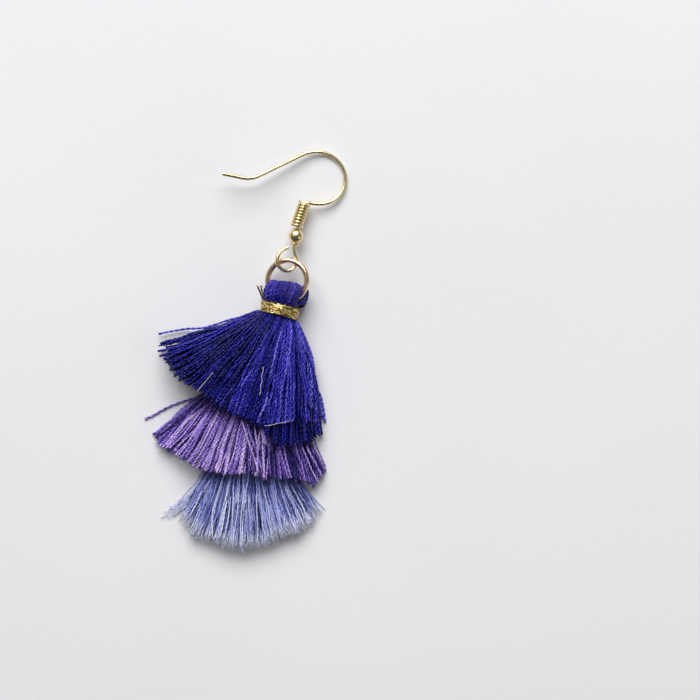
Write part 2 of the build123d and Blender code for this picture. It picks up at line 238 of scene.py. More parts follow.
MAT_INDIGO = thread_material(
    "indigo_thread",
    [(0.0, (0.0001, 0.0012, 0.056)), (0.28, (0.0008, 0.0026, 0.140)), (0.52, (0.0050, 0.0062, 0.270)), (0.80, (0.058, 0.050, 0.58)), (1.0, (0.31, 0.28, 0.90))],
    (0.63, 0.62, 1.0), rough=0.22, spec=0.44, sheen=0.02, sheen_tint=(0.5, 0.42, 1.0), ridge=0.32, fibre=0.40, glint=0.26, fleck=1.15,
)
MAT_HEAD = thread_material(
    "indigo_thread_tight",
    [(0.0, (0.0001, 0.0010, 0.050)), (0.28, (0.0012, 0.0024, 0.135)), (0.52, (0.0080, 0.0062, 0.265)), (0.80, (0.075, 0.056, 0.56)), (1.0, (0.36, 0.31, 0.90))],
    (0.70, 0.64, 1.0), rough=0.22, spec=0.46, sheen=0.02, sheen_tint=(0.5, 0.42, 1.0), ridge=0.62, edge=0.52, fibre=0.36, glint=0.26, fleck=1.3,
)
MAT_PURPLE = thread_material(
    "purple_thread",
    [(0.0, (0.006, 0.003, 0.105)), (0.34, (0.068, 0.035, 0.275)), (0.66, (0.37, 0.225, 0.79)), (1.0, (0.82, 0.64, 1.0))],
    (0.93, 0.80, 1.0), rough=0.27, spec=0.46, sheen=0.06, sheen_tint=(0.9, 0.8, 1.0), ridge=0.28, fibre=0.36, glint=0.20, fleck=1.25,
)
MAT_PERI = thread_material(
    "periwinkle_thread",
    [(0.0, (0.016, 0.026, 0.14)), (0.34, (0.125, 0.155, 0.47)), (0.68, (0.41, 0.455, 0.88)), (1.0, (0.78, 0.825, 1.0))],
    (0.95, 0.97, 1.0), rough=0.40, spec=0.45, sheen=0.06, sheen_tint=(0.85, 0.88, 1.0),
    tip=(0.80, 0.835, 1.0), ridge=0.28, fibre=0.40, glint=0.10, fleck=0.7,
)
MAT_HOOK = metal_material(
    "pale_gold_wire",
    [(0.25, (0.68, 0.53, 0.24)), (0.5, (0.87, 0.72, 0.40)), (0.75, (0.95, 0.84, 0.53))],
    0.22, 0.16,
)
MAT_RING = metal_material(
    "rose_gold_wire",
    [(0.25, (0.48, 0.30, 0.15)), (0.5, (0.76, 0.55, 0.34)), (0.75, (0.94, 0.77, 0.55))],
    0.18, 0.24,
)


def foil_material():
    """Metallised thread: bright and dark flecks painted into the foil's colour as painted glitter, with real bump and
    roughness flecks, over an olive core.
    """
    m, nt, b = new_material("gold_foil_thread")
    uv = nt.nodes.new("ShaderNodeUVMap")
    uv.uv_map = "strand"
    lay = nt.nodes.new("ShaderNodeMapping")
    lay.inputs["Scale"].default_value = (3.4, 1.5, 1.0)
    lay.inputs["Rotation"].default_value = (0.0, 0.0, 0.4)
    nt.links.new(uv.outputs[0], lay.inputs["Vector"])
    vor = nt.nodes.new("ShaderNodeTexVoronoi")
    vor.inputs["Scale"].default_value = 1.0
    nt.links.new(lay.outputs[0], vor.inputs["Vector"])
    sep = nt.nodes.new("ShaderNodeSeparateColor")
    nt.links.new(vor.outputs["Color"], sep.inputs[0])
    tint = attribute(nt, "tint").outputs["Fac"]
    # the voronoi cells lighten and darken the colour: painted glitter
    v = math_node(nt, "MULTIPLY_ADD", sep.outputs[0], 0.80)
    v.node.inputs[2].default_value = -0.40
    total = math_node(nt, "ADD", tint, v, clamp=True)
    nt.links.new(
        ramp(nt, total, [(0.0, (0.07, 0.035, 0.014)), (0.28, (0.34, 0.22, 0.05)), (0.58, (0.75, 0.56, 0.17)), (1.0, (1.0, 0.91, 0.54))]),
        b.inputs["Base Color"],
    )
    b.inputs["Metallic"].default_value = 0.9
    r = nt.nodes.new("ShaderNodeMapRange")
    r.inputs["To Min"].default_value = 0.16
    r.inputs["To Max"].default_value = 0.42
    nt.links.new(sep.outputs[1], r.inputs["Value"])
    nt.links.new(r.outputs[0], b.inputs["Roughness"])
    bump = nt.nodes.new("ShaderNodeBump")
    bump.inputs["Strength"].default_value = 0.9
    bump.inputs["Distance"].default_value = 0.00005
    nt.links.new(sep.outputs[2], bump.inputs["Height"])
    nt.links.new(bump.outputs[0], b.inputs["Normal"])
    return m


MAT_FOIL = foil_material()


# ---------------------------------------------------------- thread tubes
def glide(X, t):
    """Points of the smooth curves through X (K, M, 3) at fractional places t (K, R)."""
    K, M, _ = X.shape
    i = np.clip(np.floor(t).astype(int), 0, M - 2)
    f = (t - i)[..., None]
    rows = np.arange(K)[:, None]
    p0 = X[rows, np.maximum(i - 1, 0)]
    p1 = X[rows, i]
    p2 = X[rows, i + 1]
    p3 = X[rows, np.minimum(i + 2, M - 1)]
    return 0.5 * (2 * p1 + (p2 - p0) * f + (2 * p0 - 5 * p1 + 4 * p2 - p3) * f**2 + (3 * p1 - p0 - 3 * p2 + p3) * f**3)


PLY_ANGLES = np.radians([0, 38, 90, 142, 180, 218, 270, 322])


def tubes(name, X, material, stands_for=(), fine=None, r=0.135, c=0.058, pitch=1.7, step=0.2125,
          coarse=1.0, tint=None, fluff=None, flare=1.0, phase=None, flat=False, scale=None, sides=None, hem_shadow=None):
    """One mesh of twisted threads that follow the curves X (K, M, 3), in mm.

    fine: the length at each thread's far end that has its twist modelled; the
    rest, which lies under other threads, is a plain round tube."""
    K, M, _ = X.shape
    seg = np.linalg.norm(np.diff(X, axis=1), axis=2)
    L = np.concatenate([np.zeros((K, 1)), np.cumsum(seg, 1)], 1)
    total = L[:, -1]
    fine = total if fine is None else np.minimum(np.broadcast_to(fine, (K,)), total)
    tint = np.full(K, 0.5) if tint is None else np.broadcast_to(tint, (K,))
    fluff = np.zeros(K) if fluff is None else np.broadcast_to(fluff, (K,))
    phase = rng.uniform(0, 2 * np.pi, K) if phase is None else np.broadcast_to(phase, (K,))
    scale = np.ones(K) if scale is None else np.broadcast_to(scale, (K,))
    pitches = np.broadcast_to(pitch, (K,))
    angles = PLY_ANGLES if sides is None else np.linspace(0, 2 * np.pi, sides, endpoint=False)
    S = len(angles)
    marks = []
    for k in range(K):
        start = total[k] - fine[k]
        nf = max(2, int(round(fine[k] / step)))
        s = np.linspace(start, total[k], nf + 1)
        if start > 0.05:
            nc = max(1, int(round(start / coarse)))
            s = np.concatenate([np.linspace(0, start, nc + 1)[:-1], s])
        marks.append(s)
    R = max(len(s) for s in marks)
    count = np.array([len(s) for s in marks])
    s = np.stack([np.pad(m_, (0, R - len(m_)), mode="edge") for m_ in marks])
    t = np.stack([np.interp(s[k], L[k], np.arange(M)) for k in range(K)])
    P = glide(X, t)
    e = 0.02
    T = glide(X, np.minimum(t + e, M - 1)) - glide(X, np.maximum(t - e, 0))
    T /= np.linalg.norm(T, axis=2, keepdims=True) + 1e-12
    N = np.zeros_like(P)
    up = np.where(np.abs(T[:, 0, 2:3]) < 0.9, np.array([[0, 0, 1.0]]), np.array([[1.0, 0, 0]]))
    n = np.cross(up, T[:, 0])
    n /= np.linalg.norm(n, axis=1, keepdims=True)
    for j in range(R):
        n = n - (n * T[:, j]).sum(1, keepdims=True) * T[:, j]
        n /= np.linalg.norm(n, axis=1, keepdims=True) + 1e-12
        N[:, j] = n
    B = np.cross(T, N)
    begin = (total - fine)[:, None]
    turned = np.maximum(s - begin, 0.0)
    psi = phase[:, None] + 2 * np.pi * turned / pitches[:, None]
    ease = np.clip(turned / 0.6, 0, 1)
    ease = np.where(begin > 0.05, ease, 1.0)
    ease = ease * ease * (3 - 2 * ease)
    away = total[:, None] - s
    near = np.clip(1 - away / 0.5, 0, 1)
    widen = 1 + (flare - 1) * near
    cc = c * ease[..., None]
    pitches = np.broadcast_to(pitches, (K,))
    rr = r + 0.42 * r * (1 - ease[..., None])
    rho = cc * np.abs(np.cos(angles)) + np.sqrt(np.maximum(rr**2 - cc**2 * np.sin(angles) ** 2, 1e-6))
    rho = rho * (scale[:, None, None] * widen[..., None])
    a = psi[..., None] + angles
    # crest is 1 on the ply lobes and 0 in the grooves; the colour uses it as painted highlight and painted shade
    crest = np.broadcast_to(np.abs(np.cos(angles)) ** 2, rho.shape) * ease[..., None] + 0.5 * (1 - ease[..., None])
    V = P[:, :, None] + rho[..., None] * (np.cos(a)[..., None] * N[:, :, None] + np.sin(a)[..., None] * B[:, :, None])
    tip = P + T * (0.02 * widen[..., None])
    # pack only the rings that exist
    ring_ok = np.arange(R)[None] < count[:, None]
    ring_id = np.cumsum(ring_ok.ravel()).reshape(K, R) - 1
    verts = V[ring_ok].reshape(-1, 3)
    n_rings = int(ring_ok.sum())
    ends = np.stack([P[np.arange(K), 0], tip[np.arange(K), count - 1]], 1).reshape(-1, 3)
    verts = np.concatenate([verts, ends])
    pair = ring_ok[:, 1:] & ring_ok[:, :-1]
    i0 = ring_id[:, :-1][pair]
    k_of = np.broadcast_to(np.arange(K)[:, None], (K, R - 1))[pair]
    q = np.arange(S)
    q1 = (q + 1) % S
    quads = np.stack([i0[:, None] * S + q, (i0[:, None] + 1) * S + q, (i0[:, None] + 1) * S + q1, i0[:, None] * S + q1], -1)
    quads = quads[..., ::-1].reshape(-1, 4)
    first = ring_id[:, 0]
    last = ring_id[np.arange(K), count - 1]
    c0 = n_rings * S + 2 * np.arange(K)
    caps0 = np.stack([np.broadcast_to(c0[:, None], (K, S)), first[:, None] * S + q, first[:, None] * S + q1], -1)[..., ::-1]
    caps1 = np.stack([np.broadcast_to(c0[:, None] + 1, (K, S)), last[:, None] * S + q1, last[:, None] * S + q], -1)[..., ::-1]
    tris = np.concatenate([caps0.reshape(-1, 3), caps1.reshape(-1, 3)])
    # strips of the unwrapped threads, side by side
    sv = s / total[:, None]
    pad = 0.02
    u0 = (np.arange(K) + 0.05) / K
    du = 0.9 / K
    uq = np.stack([u0[k_of][:, None] + du * q / S, u0[k_of][:, None] + du * q / S,
                   u0[k_of][:, None] + du * (q + 1) / S, u0[k_of][:, None] + du * (q + 1) / S], -1)
    v0 = pad + (1 - 2 * pad) * sv[:, :-1][pair]
    v1 = pad + (1 - 2 * pad) * sv[:, 1:][pair]
    vq = np.broadcast_to(np.stack([v0, v1, v1, v0], -1)[:, None], uq.shape)
    uvq = np.stack([uq, vq], -1)[:, :, ::-1].reshape(-1, 2)
    uc = u0[:, None] + du * q / S
    uc1 = u0[:, None] + du * (q + 1) / S
    mid = np.broadcast_to((u0 + du / 2)[:, None], uc.shape)
    w0 = np.stack([np.stack([mid, uc, uc1], -1), np.broadcast_to(np.array([0.0, pad, pad]), (K, S, 3))], -1)[:, :, ::-1]
    w1 = np.stack([np.stack([mid, uc1, uc], -1), np.broadcast_to(np.array([1.0, 1 - pad, 1 - pad]), (K, S, 3))], -1)[:, :, ::-1]
    uv = np.concatenate([uvq, w0.reshape(-1, 2), w1.reshape(-1, 2)])
    # filament coordinates: round the ply, along the thread in mm
    fu = np.stack([np.broadcast_to(q / S, (len(i0), S)), np.broadcast_to(q / S, (len(i0), S)),
                   np.broadcast_to((q + 1) / S, (len(i0), S)), np.broadcast_to((q + 1) / S, (len(i0), S))], -1)
    s0 = s[:, :-1][pair] + 31.7 * k_of
    s1 = s[:, 1:][pair] + 31.7 * k_of
    fv = np.broadcast_to(np.stack([s0, s1, s1, s0], -1)[:, None], fu.shape)
    fil = np.stack([fu, fv], -1)[:, :, ::-1].reshape(-1, 2)
    fil = np.concatenate([fil, np.zeros((2 * K * S * 3, 2))])

    me = bpy.data.meshes.new(name)
    me.vertices.add(len(verts))
    me.vertices.foreach_set("co", (verts * MM).astype(np.float32).ravel())
    nq, ntri = len(quads), len(tris)
    me.loops.add(nq * 4 + ntri * 3)
    me.loops.foreach_set("vertex_index", np.concatenate([quads.ravel(), tris.ravel()]).astype(np.int32))
    me.polygons.add(nq + ntri)
    starts = np.concatenate([np.arange(nq) * 4, nq * 4 + np.arange(ntri) * 3]).astype(np.int32)
    me.polygons.foreach_set("loop_start", starts)
    me.polygons.foreach_set("loop_total", np.concatenate([np.full(nq, 4), np.full(ntri, 3)]).astype(np.int32))
    if not flat:
        me.polygons.foreach_set("use_smooth", np.concatenate([np.ones(nq, bool), np.zeros(ntri, bool)]))
    for layer, data in (("OFBake", uv), ("strand", fil)):
        lay = me.uv_layers.new(name=layer)
        lay.data.foreach_set("uv", data.astype(np.float32).ravel())
    per_ring_tint = np.broadcast_to(tint[:, None], (K, R))[ring_ok]
    # painted hem shadow: tint taken off the rings next to the hem above
    if hem_shadow is not None:
        per_ring_tint = np.clip(per_ring_tint - hem_shadow(P[ring_ok]), 0.0, 1.0)
    values = np.concatenate([np.repeat(per_ring_tint, S), np.repeat(tint, 2)])
    at = me.attributes.new("tint", "FLOAT", "POINT")
    at.data.foreach_set("value", values.astype(np.float32))
    near_tip = (fluff[:, None] * np.clip(1 - away / 2.3, 0, 1) ** 1.5)[ring_ok]
    fl = np.concatenate([np.repeat(near_tip, S), np.repeat(fluff, 2)])
    at = me.attributes.new("fluff", "FLOAT", "POINT")
    at.data.foreach_set("value", fl.astype(np.float32))
    at = me.attributes.new("crest", "FLOAT", "POINT")
    at.data.foreach_set("value", np.concatenate([crest[ring_ok].ravel(), np.full(2 * K, 0.4)]).astype(np.float32))
    me.update(calc_edges=True)
    me.validate()
    me.materials.append(material)
    ob = bpy.data.objects.new(name, me)
    scene.collection.objects.link(ob)
    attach(ob, "root")
    if stands_for:
        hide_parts(*stands_for)
    return ob


def hairs(name, X, per, material, node, long=(0.35, 0.95), cone=0.5, r=0.020, tint=0.8, back=0.25, floor=0.05):
    """Loose filaments that stand off the cut ends of the threads X."""
    n = len(X)
    k = np.repeat(np.arange(n), rng.poisson(per, n))
    seg = X[k]
    T_ = seg[:, -1] - seg[:, -4]
    T_ /= np.linalg.norm(T_, axis=1, keepdims=True)
    t0 = M - 1 - np.abs(rng.normal(0, back, len(k))) * (M / 18.0)
    root = glide(seg, t0[:, None])[:, 0] + rng.normal(0, 0.06, (len(k), 3))
    d0 = T_ + rng.normal(0, cone * 0.6, (len(k), 3))
    d0 /= np.linalg.norm(d0, axis=1, keepdims=True)
    d1 = d0 + rng.normal(0, cone, (len(k), 3))
    d1 /= np.linalg.norm(d1, axis=1, keepdims=True)
    ln = rng.uniform(*long, len(k))[:, None, None]
    u = np.linspace(0, 1, 5)[None, :, None]
    C = root[:, None] + ln * (d0[:, None] * u + (d1 - d0)[:, None] * u * u * 0.6)
    C[..., 2] = np.maximum(C[..., 2], floor)
    return tubes(name, C, material, (node,), r=r, c=0.0, step=0.24, sides=3, tint=np.clip(rng.normal(tint, 0.12, len(k)), 0.05, 1.0),
                 fluff=np.full(len(k), 0.9), flare=0.5)


# ------------------------------------------------------- the three skirts
def loaf(rows):
    t = np.array(rows, float)

    def at(d):
        return [np.interp(d, t[:, 0], t[:, i]) for i in range(1, 7)]

    def top(d, w):
        left, right, low, high, lip, crest = at(d)
        half = np.where(w < crest, left + crest, right - crest)
        edge = low + 0.55 * lip
        rise = np.maximum(high - edge, 0.05)
        big = (half**2 + rise**2) / (2 * rise)
        x = np.clip(np.abs(w - crest), 0, half)
        z = high - (big - np.sqrt(np.maximum(big**2 - x**2, 0)))
        over = np.clip(np.abs(w - crest) - half, 0, 3)
        return np.maximum(z - 0.8 * over, low + 0.3)

    def low(d, w):
        left, right, lo, high, lip, crest = at(d)
        half = np.where(w < crest, left + crest, right - crest)
        q = np.clip(np.abs(w - crest) / half, 0, 1)
        return lo + 0.45 * lip * q**4

    return top, low


TIERS = {
    "upper": dict(
        neck=spot(280, 307), head=116.0, half_w=2.42, half_h=2.28, mid_z=3.05, start=1.22, start_head=104.5, thread=0.40, bunch=0.16,
        rows=[
            (0.4, 2.00, 2.20, 0.90, 5.30, 3.60, 0.10), (2.0, 2.65, 4.50, 0.30, 6.30, 4.20, 0.60), (4.5, 4.90, 7.10, 0.0, 7.20, 3.20, 0.90),
            (8.0, 9.20, 10.40, 0.0, 7.80, 2.40, 1.20), (12.5, 15.80, 13.50, 0.0, 7.80, 1.90, 2.00), (23.0, 29.50, 19.00, 0.0, 7.20, 1.60, 4.20),
        ],
        reach=[(66, 18.6), (68, 18.9), (71, 18.8), (75, 18.2), (80, 17.8), (88, 17.9), (97, 18.1), (102, 18.1), (112, 17.9), (119, 18.2), (125, 17.9),
               (132, 17.9), (137, 18.3), (145, 19.3), (150, 19.6), (154, 19.8), (159, 19.9), (163, 19.5), (168, 19.4)],
        under=[(66, 18.6), (68, 19.3), (71, 20.2), (75, 21.0), (77, 21.5), (89, 21.5), (93, 21.2), (98, 19.0), (112, 17.9), (125, 17.8),
               (137, 18.0), (150, 19.0), (160, 19.0), (168, 18.6)],
        span=(69.5, 166.0),
        start_turn=[(68, 45), (75, 60), (85, 79), (100, 98), (116, 115), (130, 130), (150, 150), (166, 162)],
        end_turn=[(68, 77), (75, 83), (85, 89), (100, 101), (116, 116), (130, 131), (150, 153), (166, 172)],
    ),
    "middle": dict(
        neck=spot(258, 365), head=100.0, half_w=2.0, half_h=1.75, mid_z=3.60, start=0.2, start_head=100.0, thread=0.345, bunch=0.20,
        rows=[
            (-0.8, 2.2, 2.2, 1.6, 5.6, 2.4, 0.0), (0.8, 2.2, 2.2, 1.6, 5.5, 2.4, 0.0), (3.5, 3.5, 3.9, 1.2, 5.5, 2.3, 0.1),
            (7.0, 6.8, 7.1, 1.1, 5.7, 1.9, 0.2), (10.6, 10.5, 10.0, 1.02, 5.6, 1.5, 0.3), (14.0, 13.9, 12.9, 0.1, 4.9, 1.4, 0.3),
            (17.0, 16.8, 15.2, 0.0, 4.6, 1.3, 0.3), (25.0, 24.5, 21.5, 0.0, 4.0, 1.2, 0.3),
        ],
        reach=[(57, 19.2), (61, 20.0), (66, 20.6), (67, 19.6), (73, 18.3), (82, 17.4), (89, 17.8), (92, 16.4), (105, 17.3), (115, 18.0), (124, 18.4),
               (132, 18.8), (138, 19.2), (141, 19.7), (147, 19.3)],
        span=(57.5, 146.0),
        start_turn=[(57, 50), (75, 70), (100, 100), (125, 128), (146, 152)],
        end_turn=[(57, 61), (75, 77), (100, 100), (125, 124), (146, 143)],
    ),
    "lower": dict(
        neck=spot(248, 432), head=90.0, half_w=1.9, half_h=1.0, mid_z=3.15, start=0.2, start_head=90.0, thread=0.26, bunch=0.12,
        rows=[
            (-0.5, 2.0, 2.0, 2.1, 4.4, 1.5, 0.0), (1.0, 2.1, 2.1, 2.05, 4.2, 1.5, 0.0), (4.0, 3.8, 3.8, 1.45, 3.7, 1.4, 0.0),
            (8.0, 7.4, 7.8, 1.10, 3.2, 1.2, 0.0), (10.5, 9.8, 10.0, 0.15, 2.95, 1.2, 0.0), (13.0, 12.9, 11.7, 0.0, 2.8, 1.1, 0.0),
            (19.0, 18.5, 16.0, 0.0, 2.5, 1.0, 0.0),
        ],
        reach=[(48, 16.1), (51, 16.4), (56, 16.7), (63, 16.8), (70, 16.5), (76, 16.4), (83, 17.0), (90, 17.4), (98, 17.3), (105, 17.2), (111, 17.3),
               (117, 17.4), (122, 17.2), (126, 16.4), (131, 15.4)],
        span=(48.5, 130.0),
        start_turn=[(48, 38), (70, 63), (90, 90), (115, 120), (131, 140)],
        end_turn=[(48, 54), (70, 73), (90, 90), (115, 112), (131, 124)],
    ),
}


def table(rows, x):
    rows = sorted(rows)
    return np.interp(x, [a for a, _ in rows], [b for _, b in rows])


def spread_order(n):
    """Ranks 0..n-1 that fill a row evenly, whichever of them are taken first."""
    bits = max(1, int(math.ceil(math.log2(max(n, 2)))))
    rev = [int(format(i, f"0{bits}b")[::-1], 2) for i in range(2**bits)]
    keys = [rev[int(i * 2**bits / n)] for i in range(n)]
    return np.argsort(np.argsort(keys))


def in_step(phi, width):
    """A smooth random value for each angle, alike for near neighbours."""
    knots = np.arange(phi.min() - width, phi.max() + 2 * width, width)
    return np.interp(phi, knots, rng.normal(0, 1, len(knots)))


def clumped(phi, centres, pull):
    """Angles drawn towards the nearest clump centre."""
    centres = np.asarray(centres, float)
    near = centres[np.argmin(np.abs(phi[:, None] - centres[None]), 1)]
    return phi + pull * (near - phi)


M = 42


def skirt(key, n, level, under=False, clumps=None, pull=0.35, short=0.0, density=None, jag=0.22, spread=1.0, wave=1.0,
          reach=None, mess=1.0, down=None):
    """Start layout of one layer of a skirt: (X, info). level counts layers down
    from the top surface, or up from the table where under is set."""
    T = TIERS[key]
    top, low = loaf(T["rows"])
    lo, hi = T["span"]
    f = np.clip(np.linspace(-1, 1, n) + rng.normal(0, 0.35 / n, n), -1, 1)
    grid = np.linspace(hi, lo, 200)
    rho = np.ones(200) if density is None else table(density, grid)
    cdf = np.concatenate([[0], np.cumsum((rho[1:] + rho[:-1]) / 2)])
    phi = np.interp((f + 1) / 2, cdf / cdf[-1], grid)
    phi = (lo + hi) / 2 + spread * (phi - (lo + hi) / 2)
    phi += rng.normal(0, 0.35, n)
    tip_phi = phi + rng.normal(0, 0.5 * mess, n)
    if clumps is not None:
        p = pull(phi) if callable(pull) else pull
        tip_phi = clumped(tip_phi, clumps, p)
    R = table(T[reach or "reach"], tip_phi) - short + rng.normal(0, jag, n)
    a = heading(T["head"])
    u = np.array([-a[1], a[0]])
    sa = heading(T["start_head"])
    su = np.array([-sa[1], sa[0]])
    alpha = f * np.pi / 2 * 0.94
    P0 = T["neck"] + sa * T["start"] + su * (T["half_w"] * np.sin(alpha))[:, None]
    P3 = T["neck"] + heading(tip_phi) * R[:, None]
    span = np.linalg.norm(P3 - P0, axis=1)[:, None]
    # the way a thread leaves the binding, and the way it ends
    d0 = heading(table(T["start_turn"], phi))
    d1 = heading(table(T["end_turn"], tip_phi) + rng.normal(0, 1.4 * mess, n))
    P1 = P0 + sa * 0.12 + d0 * span * 0.27
    P2 = P3 - d1 * span * 0.34
    t = (np.linspace(0, 1, M) ** 1.08)[None, :, None]
    C = (1 - t) ** 3 * P0[:, None] + 3 * (1 - t) ** 2 * t * P1[:, None] + 3 * (1 - t) * t**2 * P2[:, None] + t**3 * P3[:, None]
    along = np.concatenate([np.zeros((n, 1)), np.cumsum(np.linalg.norm(np.diff(C, axis=1), axis=2), 1)], 1)
    frac = along / along[:, -1:]
    # slow sideways drift, less near the binding
    drift = np.zeros((n, M))
    for waves, amp in ((1.3, 0.16), (2.6, 0.10), (4.9, 0.05)):
        ph = rng.uniform(0, 2 * np.pi, (n, 1))
        drift += amp * wave * rng.normal(1, 0.3, (n, 1)) * np.sin(2 * np.pi * waves * frac + ph)
    drift *= np.clip(along / 6, 0, 1) * (1 - 0.5 * np.clip(frac * 4 - 3, 0, 1))
    tan = np.gradient(C, axis=1)
    tan /= np.linalg.norm(tan, axis=2, keepdims=True)
    side = np.stack([-tan[..., 1], tan[..., 0]], -1)
    C = C + side * drift[..., None]
    rel = C - T["neck"]
    d = rel @ a
    w = rel @ u
    zt = top(d, w) - 0.26
    zl = low(d, w) + 0.26
    # surfacing: a fan has room for few threads near the binding
    room0 = 2 * T["half_w"] * 1.45 / (T["thread"] + 0.02)
    rank = spread_order(n)
    emerge = np.clip((rank - room0) / max(n - room0, 1), 0, 1) * R * 0.92
    emerge = emerge + level * 7.0
    sunk = np.clip(1 - along / np.maximum(emerge, 1e-3)[:, None], 0, 1) ** 1.2 * np.clip(emerge / 22.0, 0, 1)[:, None]
    circle = np.cos(alpha)[:, None]
    deep = (T["thread"] + 0.02) * level
    if under:
        z_neck = T["mid_z"] - T["half_h"] * circle * (1 - 0.9 * sunk)
        z_out = zl + deep + (T["mid_z"] - zl) * sunk * 0.9
    else:
        z_neck = T["mid_z"] + T["half_h"] * circle * (1 - 0.9 * sunk)
        z_out = zt - deep * np.clip(along / 5, 0, 1) - (zt - T["mid_z"]) * sunk * 0.9
    mix = np.clip((along - 0.3) / 3.0, 0, 1)
    mix = mix * mix * (3 - 2 * mix)
    z = z_neck * (1 - mix) + z_out * mix
    lift = rng.normal(0, 0.10, (n, 1)) * np.clip(along / 8, 0, 1)
    lift = lift + T.get("bunch", 0.0) * in_step(tip_phi, 3.0)[:, None] * np.clip(along / 9, 0, 1) ** 1.5
    ph = rng.uniform(0, 2 * np.pi, (n, 1))
    lift += 0.09 * np.sin(2 * np.pi * 1.7 * frac + ph) * np.clip(along / 6, 0, 1)
    z = np.maximum(z + lift, 0.24)
    X = np.concatenate([C, z[..., None]], -1)
    # a buried thread is squeezed at the binding
    full = T["thread"] / 2
    size = full * np.clip(0.42 + 0.58 * along / 7.0, 0.42, 1.0)
    shown = np.clip(1 - sunk * 6, 0, 1)
    size = np.maximum(size, 0.93 * full * shown * (along > 0.2))
    return X, dict(phi=tip_phi, f=f, size=size, n=n, length=along[:, -1])


def neighbours(P, reach):
    """Index pairs nearer than reach, by a grid of cells."""
    q = np.floor(P / reach).astype(np.int64)
    q -= q.min(0)
    dim = q.max(0) + 3
    key = (q[:, 0] * dim[1] + q[:, 1]) * dim[2] + q[:, 2]
    order = np.argsort(key, kind="stable")
    skey = key[order]
    out_i, out_j = [], []
    idx = np.arange(len(P))
    for dx in (-1, 0, 1):
        for dy in (-1, 0, 1):
            for dz in (-1, 0, 1):
                off = (dx * dim[1] + dy) * dim[2] + dz
                if off < 0:
                    continue
                k2 = key + off
                a = np.searchsorted(skey, k2, "left")
                b = np.searchsorted(skey, k2, "right")
                cnt = b - a
                tot = int(cnt.sum())
                if tot == 0:
                    continue
                i = np.repeat(idx, cnt)
                inner = np.arange(tot) - np.repeat(np.cumsum(cnt) - cnt, cnt)
                j = order[np.repeat(a, cnt) + inner]
                if off == 0:
                    keep = j > i
                    i, j = i[keep], j[keep]
                out_i.append(i)
                out_j.append(j)
    i = np.concatenate(out_i)
    j = np.concatenate(out_j)
    near = ((P[i] - P[j]) ** 2).sum(1) < reach**2
    return i[near], j[near]


RING_C = spot3(287.2, 280.6, 3.0)
RING_N = np.array([-0.2750, 0.052, 1.0])
RING_N = RING_N / np.linalg.norm(RING_N)


def clear_ring(P, gap):
    """Points pushed off the jump ring's wire."""
    v = P - RING_C
    h = v @ RING_N
    q = v - h[..., None] * RING_N
    ql = np.linalg.norm(q, axis=-1, keepdims=True) + 1e-9
    base = RING_C + q / ql * 3.15
    dlt = P - base
    dist = np.linalg.norm(dlt, axis=-1, keepdims=True) + 1e-9
    return np.where(dist < gap, base + dlt / dist * gap, P)


def settle(X, size, rounds, hold=0.02, pins=3):
    """Pushes threads apart that share a place, keeping their lengths and bends."""
    K = X.shape[0]
    X0 = X.copy()
    rest = np.linalg.norm(np.diff(X, axis=1), axis=2)
    owner = np.repeat(np.arange(K), M)
    place = np.tile(np.arange(M), K)
    rad = size.ravel()
    free = np.ones((K, M, 1))
    free[:, :pins] = 0.0
    flat_free = free.reshape(-1, 1)
    for it in range(rounds):
        P = X.reshape(-1, 3)
        if it % 5 == 0:
            i, j = neighbours(P, 0.52)
            keep = (owner[i] != owner[j]) | (np.abs(place[i] - place[j]) > 3)
            i, j = i[keep], j[keep]
            need = rad[i] + rad[j]
        dlt = P[i] - P[j]
        dist = np.sqrt((dlt**2).sum(1)) + 1e-9
        push = np.clip(need - dist, 0, None) * 0.42 / dist
        move = dlt * push[:, None]
        acc = np.stack([np.bincount(i, move[:, k], len(P)) - np.bincount(j, move[:, k], len(P)) for k in range(3)], 1)
        hits = np.bincount(i, push > 0, len(P)) + np.bincount(j, push > 0, len(P))
        P = P + acc / np.maximum(hits, 1)[:, None] ** 0.35 * flat_free
        X = P.reshape(K, M, 3)
        X[:, 1:-1] += 0.16 * ((X[:, 2:] + X[:, :-2]) / 2 - X[:, 1:-1]) * free[:, 1:-1]
        X += hold * (X0 - X) * free
        for odd in (0, 1):
            a_, b_ = X[:, odd:-1:2], X[:, odd + 1 :: 2]
            dd = b_ - a_
            ln = np.linalg.norm(dd, axis=2)
            corr = ((ln - rest[:, odd::2]) / (ln + 1e-9))[..., None] * dd
            fa, fb = free[:, odd:-1:2], free[:, odd + 1 :: 2]
            tot = np.maximum(fa + fb, 1e-6)
            X[:, odd:-1:2] += corr * fa / tot
            X[:, odd + 1 :: 2] -= corr * fb / tot
        X[..., 2] = np.maximum(X[..., 2], 0.22)
    return X


UPPER_CLUMPS = [69, 72.5, 76, 80, 84.5, 88, 92, 96.5, 100, 104, 109, 113, 117.5, 121, 125, 129.5, 133, 137.5, 140.8, 144.1, 147.2, 150.6, 153.3, 155.6, 157.7, 159.8, 162.6, 167.6]
MIDDLE_CLUMPS = [58, 60.5, 64, 68, 71, 75, 79, 83, 87, 91.5, 95, 99, 103, 107.5, 111, 115, 120, 124, 129, 133, 137, 141, 145]
LOWER_CLUMPS = [49, 52.5, 56, 60, 63, 67, 72, 76, 80, 84, 89, 93, 98, 102, 106, 111, 115, 119, 124, 127, 131, 136]
UPPER_DENSITY = [(68, 1.0), (140, 1.0), (150, 0.72), (168, 0.50)]
LAYER_DENSITY = [(68, 1.0), (140, 1.0), (150, 1.05), (160, 0.9), (168, 0.45)]
UNDER_DENSITY = [(68, 1.5), (96, 1.5), (102, 0.9), (140, 0.9), (150, 0.6), (168, 0.3)]
LOWER_DENSITY = [(48, 0.7), (56, 0.9), (62, 1.0), (118, 1.0), (124, 0.8), (131, 0.45)]

batches = []


def batch(key, *args, piece, fine, dim=0.0, **kw):
    X, info = skirt(key, *args, **kw)
    info.update(piece=piece, fine=fine, key=key, level=args[1], under=kw.get("under", False), dim=dim)
    batches.append((X, info))


